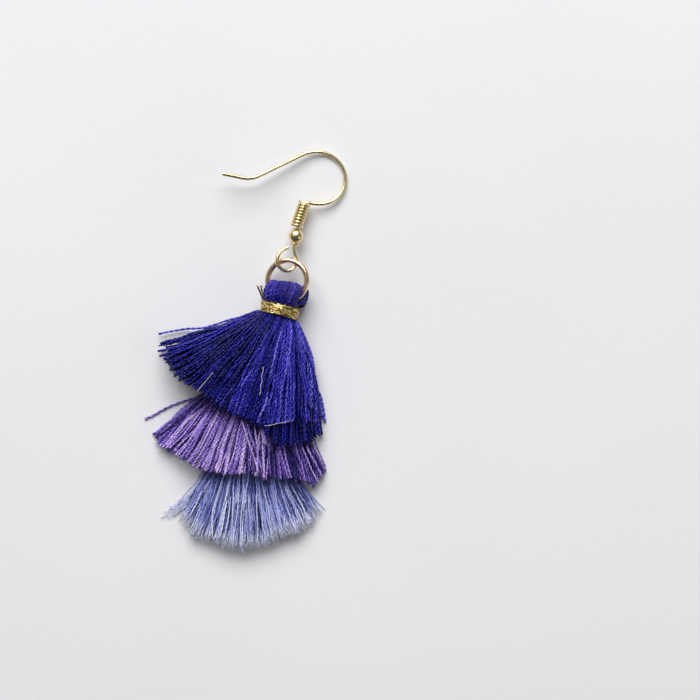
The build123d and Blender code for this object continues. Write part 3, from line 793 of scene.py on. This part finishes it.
def left_pull(phi):
    return np.interp(phi, [60, 120, 140, 150, 157, 168], [0.28, 0.20, 0.25, 0.45, 0.80, 0.92])


# dim lowers a whole layer's tint: painted shade on the layers that lie under the top threads
batch("upper", 88, 0, piece="upper_threads_top", fine=30.0, clumps=UPPER_CLUMPS, pull=left_pull, density=UPPER_DENSITY)
batch("upper", 92, 1, piece="upper_threads_under", fine=4.5, clumps=UPPER_CLUMPS, pull=left_pull, short=0.05, jag=0.30, density=LAYER_DENSITY, reach="under", dim=0.30, spread=0.955)
batch("upper", 90, 2, piece="upper_threads_under", fine=3.5, clumps=UPPER_CLUMPS, pull=0.1, short=0.15, jag=0.35, density=UNDER_DENSITY, reach="under", dim=0.38, spread=0.950)
batch("upper", 70, 0, piece="upper_threads_under", fine=3.0, under=True, clumps=UPPER_CLUMPS, pull=left_pull, short=0.3, spread=0.945, density=LAYER_DENSITY, dim=0.2)
batch("middle", 92, 0, piece="middle_threads_top", fine=11.0, clumps=MIDDLE_CLUMPS, pull=0.26, mess=3.0)
batch("middle", 88, 1, piece="middle_threads_top", fine=8.0, clumps=MIDDLE_CLUMPS, pull=0.20, mess=2.4, dim=0.18)
batch("middle", 70, 0, piece="middle_threads_under", fine=3.5, under=True, clumps=MIDDLE_CLUMPS, pull=0.3, short=0.25, spread=0.97, dim=0.26)
batch("lower", 112, 0, piece="lower_threads_top", fine=11.0, clumps=LOWER_CLUMPS, pull=0.30, jag=0.40, density=LOWER_DENSITY, mess=4.5)
batch("lower", 108, 1, piece="lower_threads_top", fine=9.0, clumps=LOWER_CLUMPS, pull=0.30, jag=0.40, density=LOWER_DENSITY, mess=3.5, dim=0.16)
batch("lower", 90, 2, piece="lower_threads_under", fine=5.0, clumps=LOWER_CLUMPS, pull=0.2, jag=0.35, spread=0.96, density=LOWER_DENSITY, dim=0.26)
batch("lower", 84, 0, piece="lower_threads_under", fine=4.0, under=True, clumps=LOWER_CLUMPS, pull=0.2, jag=0.35, spread=0.96, density=LOWER_DENSITY, dim=0.22)

X_all = np.concatenate([x for x, _ in batches])
size_all = np.concatenate([i["size"] for _, i in batches])
X_all = settle(X_all, size_all, 60)

LOOKS = {
    "upper": (MAT_INDIGO, "thread_indigo", "upper_tassel"),
    "middle": (MAT_PURPLE, "thread_purple", "middle_tassel"),
    "lower": (MAT_PERI, "thread_periwinkle", "lower_tassel"),
}


def tone(info):
    """Lightness of each thread of a batch."""
    n, phi = info["n"], info["phi"]
    if info["key"] == "upper":
        base = rng.normal(0.50, 0.15, n) + 0.12 * in_step(phi, 3.4)
        base += np.interp(phi, [68, 74, 95, 108, 122, 136, 150, 160, 168], [0.08, 0.12, 0.07, -0.06, -0.22, -0.38, -0.36, -0.15, 0.0])
    elif info["key"] == "middle":
        base = rng.normal(0.52, 0.21, n) + 0.06 * in_step(phi, 3.2)
        # the middle fan's right side is darker and its left side lighter: painted shadow of the upper hem on the right,
        # painted light on the raised left
        base += np.interp(phi, [58, 84, 91, 105, 120, 145], [-0.23, -0.19, 0.15, 0.16, 0.14, 0.10])
    else:
        base = rng.choice([0.24, 0.52, 0.82], n, p=[0.24, 0.42, 0.34]) + rng.normal(0, 0.06, n) + 0.05 * in_step(phi, 4.0) + np.interp(phi, [60, 105, 118], [0.01, 0.03, 0.0])
    # dim: painted shade on buried layers, eased off at the upper fan's edges
    dim = info["dim"]
    if info["key"] == "upper":
        dim = dim * np.interp(phi, [70, 77, 155, 162], [0.25, 1.0, 1.0, 0.5])
    return np.clip(base - dim, 0.02, 0.98)


PLIES = {
    "upper": dict(r=0.130, c=0.060, pitch=1.70, step=0.2125),
    "middle": dict(r=0.112, c=0.054, pitch=1.65, step=0.2190),
    "lower": dict(r=0.080, c=0.044, pitch=1.70, step=0.2900),
}


def painted_hem_shadow(hem, radius, depth, amount):
    """Painted shadow: the tint is lowered on threads just outside the hem above them, fading out over depth."""
    def at_(P_):
        far = np.linalg.norm(P_[:, :2] - hem, axis=1) - radius
        return amount * np.clip(1 - far / depth, 0, 1)
    return at_


# painted shadow of the upper hem on the middle threads, and of the middle hem on the lower threads
HEM_SHADOW = {
    "upper": None,
    "middle": painted_hem_shadow(spot(290.7, 299.7), 21.0, 1.9, 0.24),
    "lower": painted_hem_shadow(spot(266.8, 332.6), 23.3, 2.3, 0.42),
}
made = {}
at = 0
for X, info in batches:
    n = info["n"]
    info["X"] = X_all[at : at + n]
    at += n
    made.setdefault(info["piece"], []).append(info)
for piece, infos in made.items():
    mat, slot_name, node = LOOKS[infos[0]["key"]]
    fluff = {"lower": 0.9, "middle": 0.0, "upper": 0.0}[infos[0]["key"]]
    ply = PLIES[infos[0]["key"]]
    X = np.concatenate([i["X"] for i in infos])
    tubes(
        piece, X, mat, (node,),
        fine=np.concatenate([np.full(i["n"], i["fine"]) for i in infos]),
        tint=np.concatenate([tone(i) for i in infos]),
        fluff=fluff, flare={"lower": 0.72, "middle": 1.06, "upper": 1.10}[infos[0]["key"]],
        r=ply["r"], c=ply["c"], step=ply["step"], hem_shadow=HEM_SHADOW[infos[0]["key"]],
        pitch=ply["pitch"] * np.clip(rng.normal(1.0, 0.07, len(X)), 0.8, 1.2),
        scale=np.clip(rng.normal(1.0, 0.08, len(X)), 0.80, 1.2),
    )

def ends_of(*pieces_):
    return np.concatenate([i["X"] for p_ in pieces_ for i in made[p_]])


hairs("lower_fray", ends_of("lower_threads_top"), 8.5, MAT_PERI, "lower_tassel", long=(0.35, 1.1), cone=0.42, tint=0.9)
hairs("middle_fray", ends_of("middle_threads_top"), 1.6, MAT_PURPLE, "middle_tassel", long=(0.25, 0.6), cone=0.5, tint=0.62)
hairs("upper_fray", ends_of("upper_threads_top"), 1.2, MAT_INDIGO, "upper_tassel", long=(0.2, 0.5), cone=0.5, tint=0.45)


# ------------------------------------------------- folded head over the ring
NECK = spot(280, 307)
NA = heading(104.5)
NU = np.array([-NA[1], NA[0]])


def in_neck(d, side, z):
    p = NECK + NA * np.asarray(d)[..., None] + NU * np.asarray(side)[..., None]
    return np.concatenate([p, np.asarray(z)[..., None]], -1)


FRONT = [(-3.70, 4.60, 1.40, 0.0, 3.50), (-3.28, 5.70, 3.00, 0.0, 3.70), (-2.60, 6.00, 4.40, -0.10, 3.90), (-1.60, 5.75, 5.00, -0.27, 3.88), (-0.66, 5.35, 4.80, -0.22, 3.65)]
BACK = [(-3.50, 4.70, 1.20, 0.95, 2.50), (-3.10, 5.50, 2.60, 1.02, 2.25), (-2.20, 5.90, 3.50, 0.98, 2.05), (-1.20, 5.80, 3.70, 0.84, 2.05), (-0.66, 5.60, 3.90, 0.45, 2.25)]


def fold(stations, n, inset, up_end, neck_half=(2.50, 2.34), lean=0.0):
    """Threads that come out of the binding, turn over the top and go back."""
    st = np.array(stations)[::-1]
    out = []
    for alpha in np.linspace(-80, 80, n):
        al = math.radians(alpha + rng.normal(0, 0.7))
        sv, cv = math.sin(al), math.cos(al)
        pts = []
        z_mid = 3.10
        front = [(0.7, neck_half[0] * sv, z_mid + up_end * neck_half[1] * cv), (-0.2, (neck_half[0] + 0.05) * sv, z_mid + up_end * (neck_half[1] + 0.03) * cv)]
        for d, w, h, side, mz in st:
            pts.append((d, side + (w / 2 - inset) * sv + lean * (d + 0.66) * -0.06, mz + up_end * (h / 2 - inset) * cv))
        d, w, h, side, mz = st[-1]
        arch = float(np.interp(sv, [-1.0, -0.6, -0.2, 0.2, 0.6, 1.0], [-0.12, -0.04, 0.12, 0.26, 0.32, 0.26]))
        pts = [(dd - arch * min(1.0, max(0.0, -dd - 1.4) / 1.6), ww, zz) for dd, ww, zz in pts]
        cap = (d - 0.12 * cv - arch, side + (w / 2 - inset) * sv, mz)
        back = [(dd, side_ + (ww / 2 - inset) * sv, mm - up_end * (hh / 2 - inset) * cv) for dd, ww, hh, side_, mm in st[::-1][:4]]
        line = np.array(front + pts + [cap] + back)
        line += rng.normal(0, 0.025, line.shape) * (np.arange(len(line))[:, None] > 1)
        out.append(in_neck(line[:, 0], line[:, 1], line[:, 2]))
    return np.stack(out)


def denser(X, m):
    K, n, _ = X.shape
    t = np.broadcast_to(np.linspace(0, n - 1, m), (K, m))
    return glide(X, t)


F = denser(fold(FRONT, 26, 0.18, 1.0), M)
Bk = denser(fold(BACK, 24, 0.18, -1.0, neck_half=(2.45, 2.3)), M)
H = clear_ring(np.concatenate([F, Bk]), 0.66)
H[..., 2] = np.maximum(H[..., 2], 0.24)
# the first threads of the front fold, over the head's top left, get a lighter tint: painted highlight
tubes("head_threads", H, MAT_HEAD, ("upper_tassel",), tint=np.clip(rng.normal(0.33, 0.13, len(H)) + 0.14 * np.clip(1 - np.arange(len(H)) / 9.0, 0, 1), 0.05, 0.85),
      pitch=rng.normal(1.30, 0.07, len(H)), step=0.19, c=0.078, scale=0.93)


def lofted_core(name, rings, material, node):
    """A closed lofted body through rings (R, S, 3), with its ends closed, that
    fills the heart of the bundle behind its outer threads. It is given a dark
    tint: painted shade inside the bundle."""
    R_, S_, _ = rings.shape
    verts = np.concatenate([rings.reshape(-1, 3), rings[0].mean(0)[None], rings[-1].mean(0)[None]])
    faces = []
    for i in range(R_ - 1):
        for j in range(S_):
            k = (j + 1) % S_
            faces.append((i * S_ + j, i * S_ + k, (i + 1) * S_ + k, (i + 1) * S_ + j))
    for j in range(S_):
        k = (j + 1) % S_
        faces.append((R_ * S_, k, j))
        faces.append((R_ * S_ + 1, (R_ - 1) * S_ + j, (R_ - 1) * S_ + k))
    me = bpy.data.meshes.new(name)
    me.from_pydata([tuple(v * MM) for v in verts], [], faces)
    me.polygons.foreach_set("use_smooth", np.ones(len(me.polygons), bool))
    # dark tint: painted shade inside the bundle
    a_ = me.attributes.new("tint", "FLOAT", "POINT")
    a_.data.foreach_set("value", np.full(len(verts), 0.1, np.float32))
    lay = me.uv_layers.new(name="strand")
    co = np.array([verts[l.vertex_index][:2] for l in me.loops])
    lay.data.foreach_set("uv", (co * np.array([0.6, 1.0])).astype(np.float32).ravel())
    me.materials.append(material)
    ob = bpy.data.objects.new(name, me)
    scene.collection.objects.link(ob)
    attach(ob, "root")
    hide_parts(node)
    return ob


def core_rings(stations, inset):
    rings = []
    ang = np.linspace(0, 2 * np.pi, 32, endpoint=False)
    for d, w, h, side, mz in stations:
        rings.append(in_neck(np.full(32, d + 0.25 * (d < -3.3)), side + (w / 2 - inset) * np.cos(ang), mz + (h / 2 - inset * min(1, h / 3)) * np.sin(ang)))
    rings.append(in_neck(np.full(32, 0.5), 2.2 * np.cos(ang), 3.1 + 2.0 * np.sin(ang)))
    return np.stack(rings)


front_core = clear_ring(core_rings(FRONT, 0.54), 0.50)
back_core = clear_ring(core_rings(BACK, 0.54), 0.50)
lofted_core("head_core_front", front_core, MAT_INDIGO, "upper_tassel")
lofted_core("head_core_back", back_core, MAT_INDIGO, "upper_tassel")

# --------------------------------------------------------- gold binding
turns = 8
th = np.linspace(0, 2 * np.pi * turns, turns * 40)
axial = np.interp(th, [0, th[-1]], [-0.44, 1.29])
lines = []


def band_line(theta, d, grow):
    return in_neck(d, 0.07 + (3.1 - 0.29 + grow) * np.cos(theta), 3.10 + (2.95 - 0.24 + grow) * np.sin(theta))


def chunks(P, m=M, pieces=1):
    s = np.linspace(0, len(P) - 1, m)
    return glide(P[None], s[None])[0]


base = band_line(th, axial + 0.03 * np.sin(3 * th), 0.0)
over = []
for k in range(12):
    t0 = rng.uniform(0, 2 * np.pi)
    tt = np.linspace(0, 2 * np.pi * 1.02, 60)
    mid = rng.uniform(0.12, 0.74)
    amp = min(rng.uniform(0.30, 0.85), mid + 0.44, 1.29 - mid)
    over.append(band_line(tt + t0, mid + amp * np.sin(tt * rng.choice([1, 2, 2]) + rng.uniform(0, 6.28)), 0.08 + 0.07 * np.sin(2 * tt + k)))
over = np.stack(over)
for k in range(turns):
    seg = base[k * 40 : k * 40 + 41] if k < turns - 1 else base[k * 40 :]
    lines.append(chunks(seg, 60))
lower = band_line(th, axial + 0.11 + 0.03 * np.cos(2 * th), -0.15)
under_turns = np.stack([chunks(lower[k * 40 : min(k * 40 + 41, len(lower))], 60) for k in range(turns)])
# the lining turns get a low tint, so they show dark between the outer turns: painted shade
tubes("gold_thread_lining", under_turns, MAT_FOIL, ("gold_wrap",), r=0.085, c=0.06, pitch=0.95, step=0.23,
      tint=np.clip(rng.normal(0.12, 0.06, turns), 0.02, 0.3), flat=True)
wrap = np.concatenate([np.stack(lines), over])
tubes("gold_thread_wrap", wrap, MAT_FOIL, ("gold_wrap",), r=0.080, c=0.058, pitch=1.7, step=0.20,
      tint=np.clip(rng.normal(0.41, 0.21, len(wrap)), 0.03, 0.9))

ends = []
for pts in (
    [(264.6, 304.5, 3.0), (262.3, 298.0, 3.3), (259.8, 291.5, 3.5), (257.2, 285.4, 3.7)],
    [(265.2, 303.8, 3.3), (263.4, 297.5, 3.7), (262.0, 291.2, 4.0), (261.0, 285.4, 4.2)],
):
    ends.append(denser(np.array([spot3(*p) for p in pts])[None], 24)[0])
tubes("gold_thread_ends", np.stack(ends), MAT_FOIL, ("gold_wrap",), r=0.09, c=0.075, pitch=1.1, step=0.12,
      tint=np.array([0.22, 0.42]), flat=True)


# ------------------------------------------------------ single loose threads
def loose(name, pts, material, node, tint, scale=0.7, flare=1.1, fluff=0.0, r=0.135, c=0.072):
    P = denser(np.array([spot3(*p) for p in pts])[None], 60)
    return tubes(name, P, material, (node,), tint=np.array([tint]), scale=scale, pitch=2.1, flare=flare, fluff=fluff, phase=0.3, r=r, c=c)


loose("stray_purple", [(214, 391, 3.0), (207, 393.2, 1.4), (199.3, 396.2, 0.5), (190, 399.2, 0.24), (180, 402.3, 0.22), (170, 406, 0.22), (161, 410.6, 0.22), (152, 415.8, 0.22), (143.8, 419.2, 0.24)],
      MAT_PURPLE, "middle_tassel", 0.46, 0.92, r=0.095, c=0.105)


def on_upper(col, row, over=0.27):
    """Height of the upper skirt's outer threads under a plan point."""
    T = TIERS["upper"]
    a = heading(T["head"])
    rel = spot(col, row) - T["neck"]
    return float(loaf(T["rows"])[0](np.array(rel @ a), np.array(rel @ np.array([-a[1], a[0]])))) + over


def on_middle(col, row, over=0.22):
    T = TIERS["middle"]
    a = heading(T["head"])
    rel = spot(col, row) - T["neck"]
    return float(loaf(T["rows"])[0](np.array(rel @ a), np.array(rel @ np.array([-a[1], a[0]])))) + over


crossing = []
for pts_ in (
    [(242.0, 420.0), (245.6, 431.0), (250.0, 445.0), (254.6, 458.0), (258.4, 470.5)],
    [(255.0, 424.0), (256.2, 436.0), (257.6, 448.0), (258.2, 460.0), (257.2, 472.0)],
    [(248.0, 424.0), (251.0, 436.0), (255.8, 448.0), (259.4, 460.0), (261.8, 469.0)],
):
    crossing.append(denser(np.array([spot3(c_, r_, on_middle(c_, r_, 0.12 + 0.20 * (k_ > 0))) for k_, (c_, r_) in enumerate(pts_)])[None], M)[0])
crossing = np.stack(crossing)
tubes("crossing_threads", crossing, MAT_PURPLE, ("middle_tassel",), r=0.112, c=0.054, pitch=1.65, tint=np.array([0.80, 0.74, 0.58]), scale=0.92)
hairs("crossing_fray", crossing, 9.0, MAT_PURPLE, "middle_tassel", long=(0.3, 0.8), cone=0.7, tint=0.8)
tuft = []
for k_ in range(4):
    sh_ = 0.9 * k_
    tuft.append(denser(np.array([spot3(c_ + sh_, r_, on_middle(c_ + sh_, r_, 0.20)) for c_, r_ in ((260.4, 425.5), (261.8, 431.0), (263.0, 437.0), (263.4 + 0.4 * k_, 443.0 + 0.8 * (k_ % 3)))])[None], M)[0])
tuft = np.stack(tuft)
tubes("stray_tuft", tuft, MAT_PURPLE, ("middle_tassel",), r=0.112, c=0.054, pitch=1.65, tint=np.array([0.78, 0.86, 0.74, 0.66]), scale=0.85)
hairs("tuft_fray", tuft, 6.0, MAT_PURPLE, "middle_tassel", long=(0.25, 0.6), cone=0.8, tint=0.85)

PALE = thread_material(
    "pale_lilac_fibre",
    [(0.0, (0.30, 0.27, 0.50)), (0.5, (0.58, 0.54, 0.78)), (1.0, (0.86, 0.84, 0.95))],
    (1.0, 1.0, 1.0), rough=0.40, spec=0.5, sheen=0.1, ridge=0.15,
)
for name_, pts_, thick in (
    ("pale_strand_left", [(213.8, 372.6), (209.0, 378.2), (203.6, 384.6), (198.0, 391.4)], 0.36),
    ("pale_strand_wavy", [(263.6, 367.0), (263.9, 371.0), (262.2, 376.0), (262.9, 381.0), (261.2, 386.0), (261.6, 390.5), (260.2, 395.0)], 0.38),
    ("pale_strand_hem", [(265.0, 425.2), (271.5, 424.6), (279.0, 422.8), (286.0, 421.6), (293.5, 420.0)], 0.34),
):
    loose(name_, [(c_, r_, on_upper(c_, r_)) for c_, r_ in pts_], PALE, "upper_tassel", 0.6, thick, r=0.105, c=0.03)

# a few long fibres that have come away at the left of the lowest hem
wisps = []
for k_, (c1, r1) in enumerate([(160.6, 518.6), (163.0, 513.0), (166.5, 519.5), (169.0, 508.4), (172.5, 516.4), (176.0, 511.8), (177.5, 521.5), (180.5, 517.0)]):
    c0_, r0_ = 205.0 + 0.9 * k_, 478.0 + 0.6 * k_
    bow_ = rng.normal(0, 1.6)
    wisps.append(denser(np.array([
        spot3(c0_, r0_, 1.6), spot3(c0_ + (c1 - c0_) * 0.30, r0_ + (r1 - r0_) * 0.36 + bow_ * 0.6, 1.1),
        spot3(c0_ + (c1 - c0_) * 0.65, r0_ + (r1 - r0_) * 0.68 + bow_, 0.55), spot3(c1, r1, 0.22 + 0.03 * k_)])[None], 30)[0])
tubes("lower_wisps", np.stack(wisps), MAT_PERI, ("lower_tassel",), r=0.050, c=0.020, pitch=2.4, step=0.5,
      tint=np.clip(rng.normal(0.72, 0.12, len(wisps)), 0, 1), fluff=0.8, flare=0.7)
hairs_from = np.stack([denser(w_[None], M)[0] for w_ in wisps])
hairs("wisp_fray", hairs_from, 5.0, MAT_PERI, "lower_tassel", long=(0.35, 0.9), cone=0.5, tint=0.85, back=3.5)

# ------------------------------------------------------------- fittings
for node in ("ear_hook", "hook_coil", "ball_bead"):
    for s_ in nodes_cad[node].material_slots:
        s_.material = MAT_HOOK
for s_ in nodes_cad["jump_ring"].material_slots:
    s_.material = MAT_RING


# ------------------------------------------------------ hidden hanging cord
MAT_CORD = thread_material(
    "indigo_cord",
    [(0.0, (0.004, 0.003, 0.04)), (0.5, (0.022, 0.012, 0.18)), (1.0, (0.10, 0.07, 0.45))],
    (0.7, 0.66, 1.0), rough=0.5, spec=0.4, sheen=0.05,
)
a_, b_, c_ = in_neck(-1.6, 0.0, 3.10), spot3(258, 365, 3.60), spot3(248, 432, 3.25)
u_ = np.linspace(0, 1, 15)[:, None]
bend = 0.16
p_, q_ = b_ + (a_ - b_) * bend, b_ + (c_ - b_) * bend
hang = np.concatenate([a_ + (p_ - a_) * u_[:-1], (1 - u_) ** 2 * p_ + 2 * u_ * (1 - u_) * b_ + u_**2 * q_, q_ + (c_ - q_) * u_[1:]])
tubes("hanging_cord", hang[None], MAT_CORD, ("core_cord",), r=0.30, c=0.19, pitch=2.6, step=0.25, sides=14, tint=np.array([0.5]))

# ------------------------------------------------------- table and light
fm, nt, b = new_material("pale_paper")
coord = nt.nodes.new("ShaderNodeTexCoord").outputs["Object"]
wide = noise(nt, coord, 14.0, 2.0)
grain = noise(nt, coord, 900.0, 3.0, 0.6)
mixv = math_node(nt, "MULTIPLY_ADD", grain, 0.25)
nt.links.new(wide, mixv.node.inputs[2])
nt.links.new(ramp(nt, mixv, [(0.35, (0.800, 0.801, 0.815)), (0.85, (0.845, 0.843, 0.849))]), b.inputs["Base Color"])
b.inputs["Roughness"].default_value = 0.75
b.inputs["Specular IOR Level"].default_value = 0.2
bump = nt.nodes.new("ShaderNodeBump")
bump.inputs["Strength"].default_value = 0.12
bump.inputs["Distance"].default_value = 0.0002
nt.links.new(grain, bump.inputs["Height"])
nt.links.new(bump.outputs[0], b.inputs["Normal"])
me = bpy.data.meshes.new("table_top")
h = 6.0
me.from_pydata([(-h, -h, 0), (h, -h, 0), (h, h, 0), (-h, h, 0)], [], [(0, 1, 2, 3)])
me.materials.append(fm)
floor = bpy.data.objects.new("table_top", me)
scene.collection.objects.link(floor)
floor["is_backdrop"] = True

world = bpy.data.worlds.new("room")
scene.world = world
world.use_nodes = True
wn = world.node_tree
wn.nodes.clear()
wout = wn.nodes.new("ShaderNodeOutputWorld")
bg = wn.nodes.new("ShaderNodeBackground")
wn.links.new(bg.outputs[0], wout.inputs[0])
wc = wn.nodes.new("ShaderNodeTexCoord")
wsep = wn.nodes.new("ShaderNodeSeparateXYZ")
wn.links.new(wc.outputs["Generated"], wsep.inputs[0])
wr = wn.nodes.new("ShaderNodeValToRGB")
e = wr.color_ramp.elements
e[0].position, e[0].color = 0.0, (0.50, 0.50, 0.52, 1)
e[1].position, e[1].color = 0.55, (0.52, 0.52, 0.55, 1)
el = e.new(0.80)
el.color = (0.46, 0.46, 0.48, 1)
el = e.new(0.92)
el.color = (0.54, 0.54, 0.55, 1)
wn.links.new(wsep.outputs["Z"], wr.inputs[0])
# the room is brighter round the window and darker on the far side
wdot = wn.nodes.new("ShaderNodeVectorMath")
wdot.operation = "DOT_PRODUCT"
wn.links.new(wc.outputs["Generated"], wdot.inputs[0])
wdot.inputs[1].default_value = (-0.25, 0.93, 0.27)
wl = wn.nodes.new("ShaderNodeValToRGB")
e = wl.color_ramp.elements
e[0].position, e[0].color = 0.12, (0.34, 0.34, 0.36, 1)
e[1].position, e[1].color = 0.46, (0.55, 0.55, 0.58, 1)
for at_, v_ in ((0.60, 1.0), (0.80, 1.7), (0.95, 2.2)):
    el = e.new(at_)
    el.color = (v_, v_, v_ * 1.02, 1)
wh = wn.nodes.new("ShaderNodeMath")
wh.operation = "MULTIPLY_ADD"
wh.inputs[1].default_value = 0.5
wh.inputs[2].default_value = 0.5
wn.links.new(wdot.outputs["Value"], wh.inputs[0])
wn.links.new(wh.outputs[0], wl.inputs[0])
wmix = wn.nodes.new("ShaderNodeMix")
wmix.data_type = "RGBA"
wmix.blend_type = "MULTIPLY"
wmix.inputs["Factor"].default_value = 1.0
wn.links.new(wr.outputs[0], wmix.inputs["A"])
wn.links.new(wl.outputs[0], wmix.inputs["B"])
wn.links.new(wmix.outputs["Result"], bg.inputs[0])
bg.inputs[1].default_value = 0.335


def area(name, where, look_at, size, power, colour):
    d = bpy.data.lights.new(name, "AREA")
    d.shape = "RECTANGLE"
    d.size, d.size_y = size
    d.energy = power
    d.color = colour
    o = bpy.data.objects.new(name, d)
    scene.collection.objects.link(o)
    o.location = where
    o.rotation_euler = (Vector(look_at) - Vector(where)).to_track_quat("-Z", "Y").to_euler()
    return o


area("window", (-0.09, 0.62, 0.60), (0.01, 0.0, 0.0), (0.82, 0.60), 9.95, (1.0, 1.0, 1.0))
area("bright_wall", (0.52, -0.22, 0.34), (0.01, 0.0, 0.0), (0.40, 0.30), 0.42, (1.0, 0.99, 0.97))

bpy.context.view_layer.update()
total = 0
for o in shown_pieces():
    tri = sum(len(p.vertices) - 2 for p in o.data.polygons)
    total += tri
    print("piece", o.name, tri)
print("triangles", total)
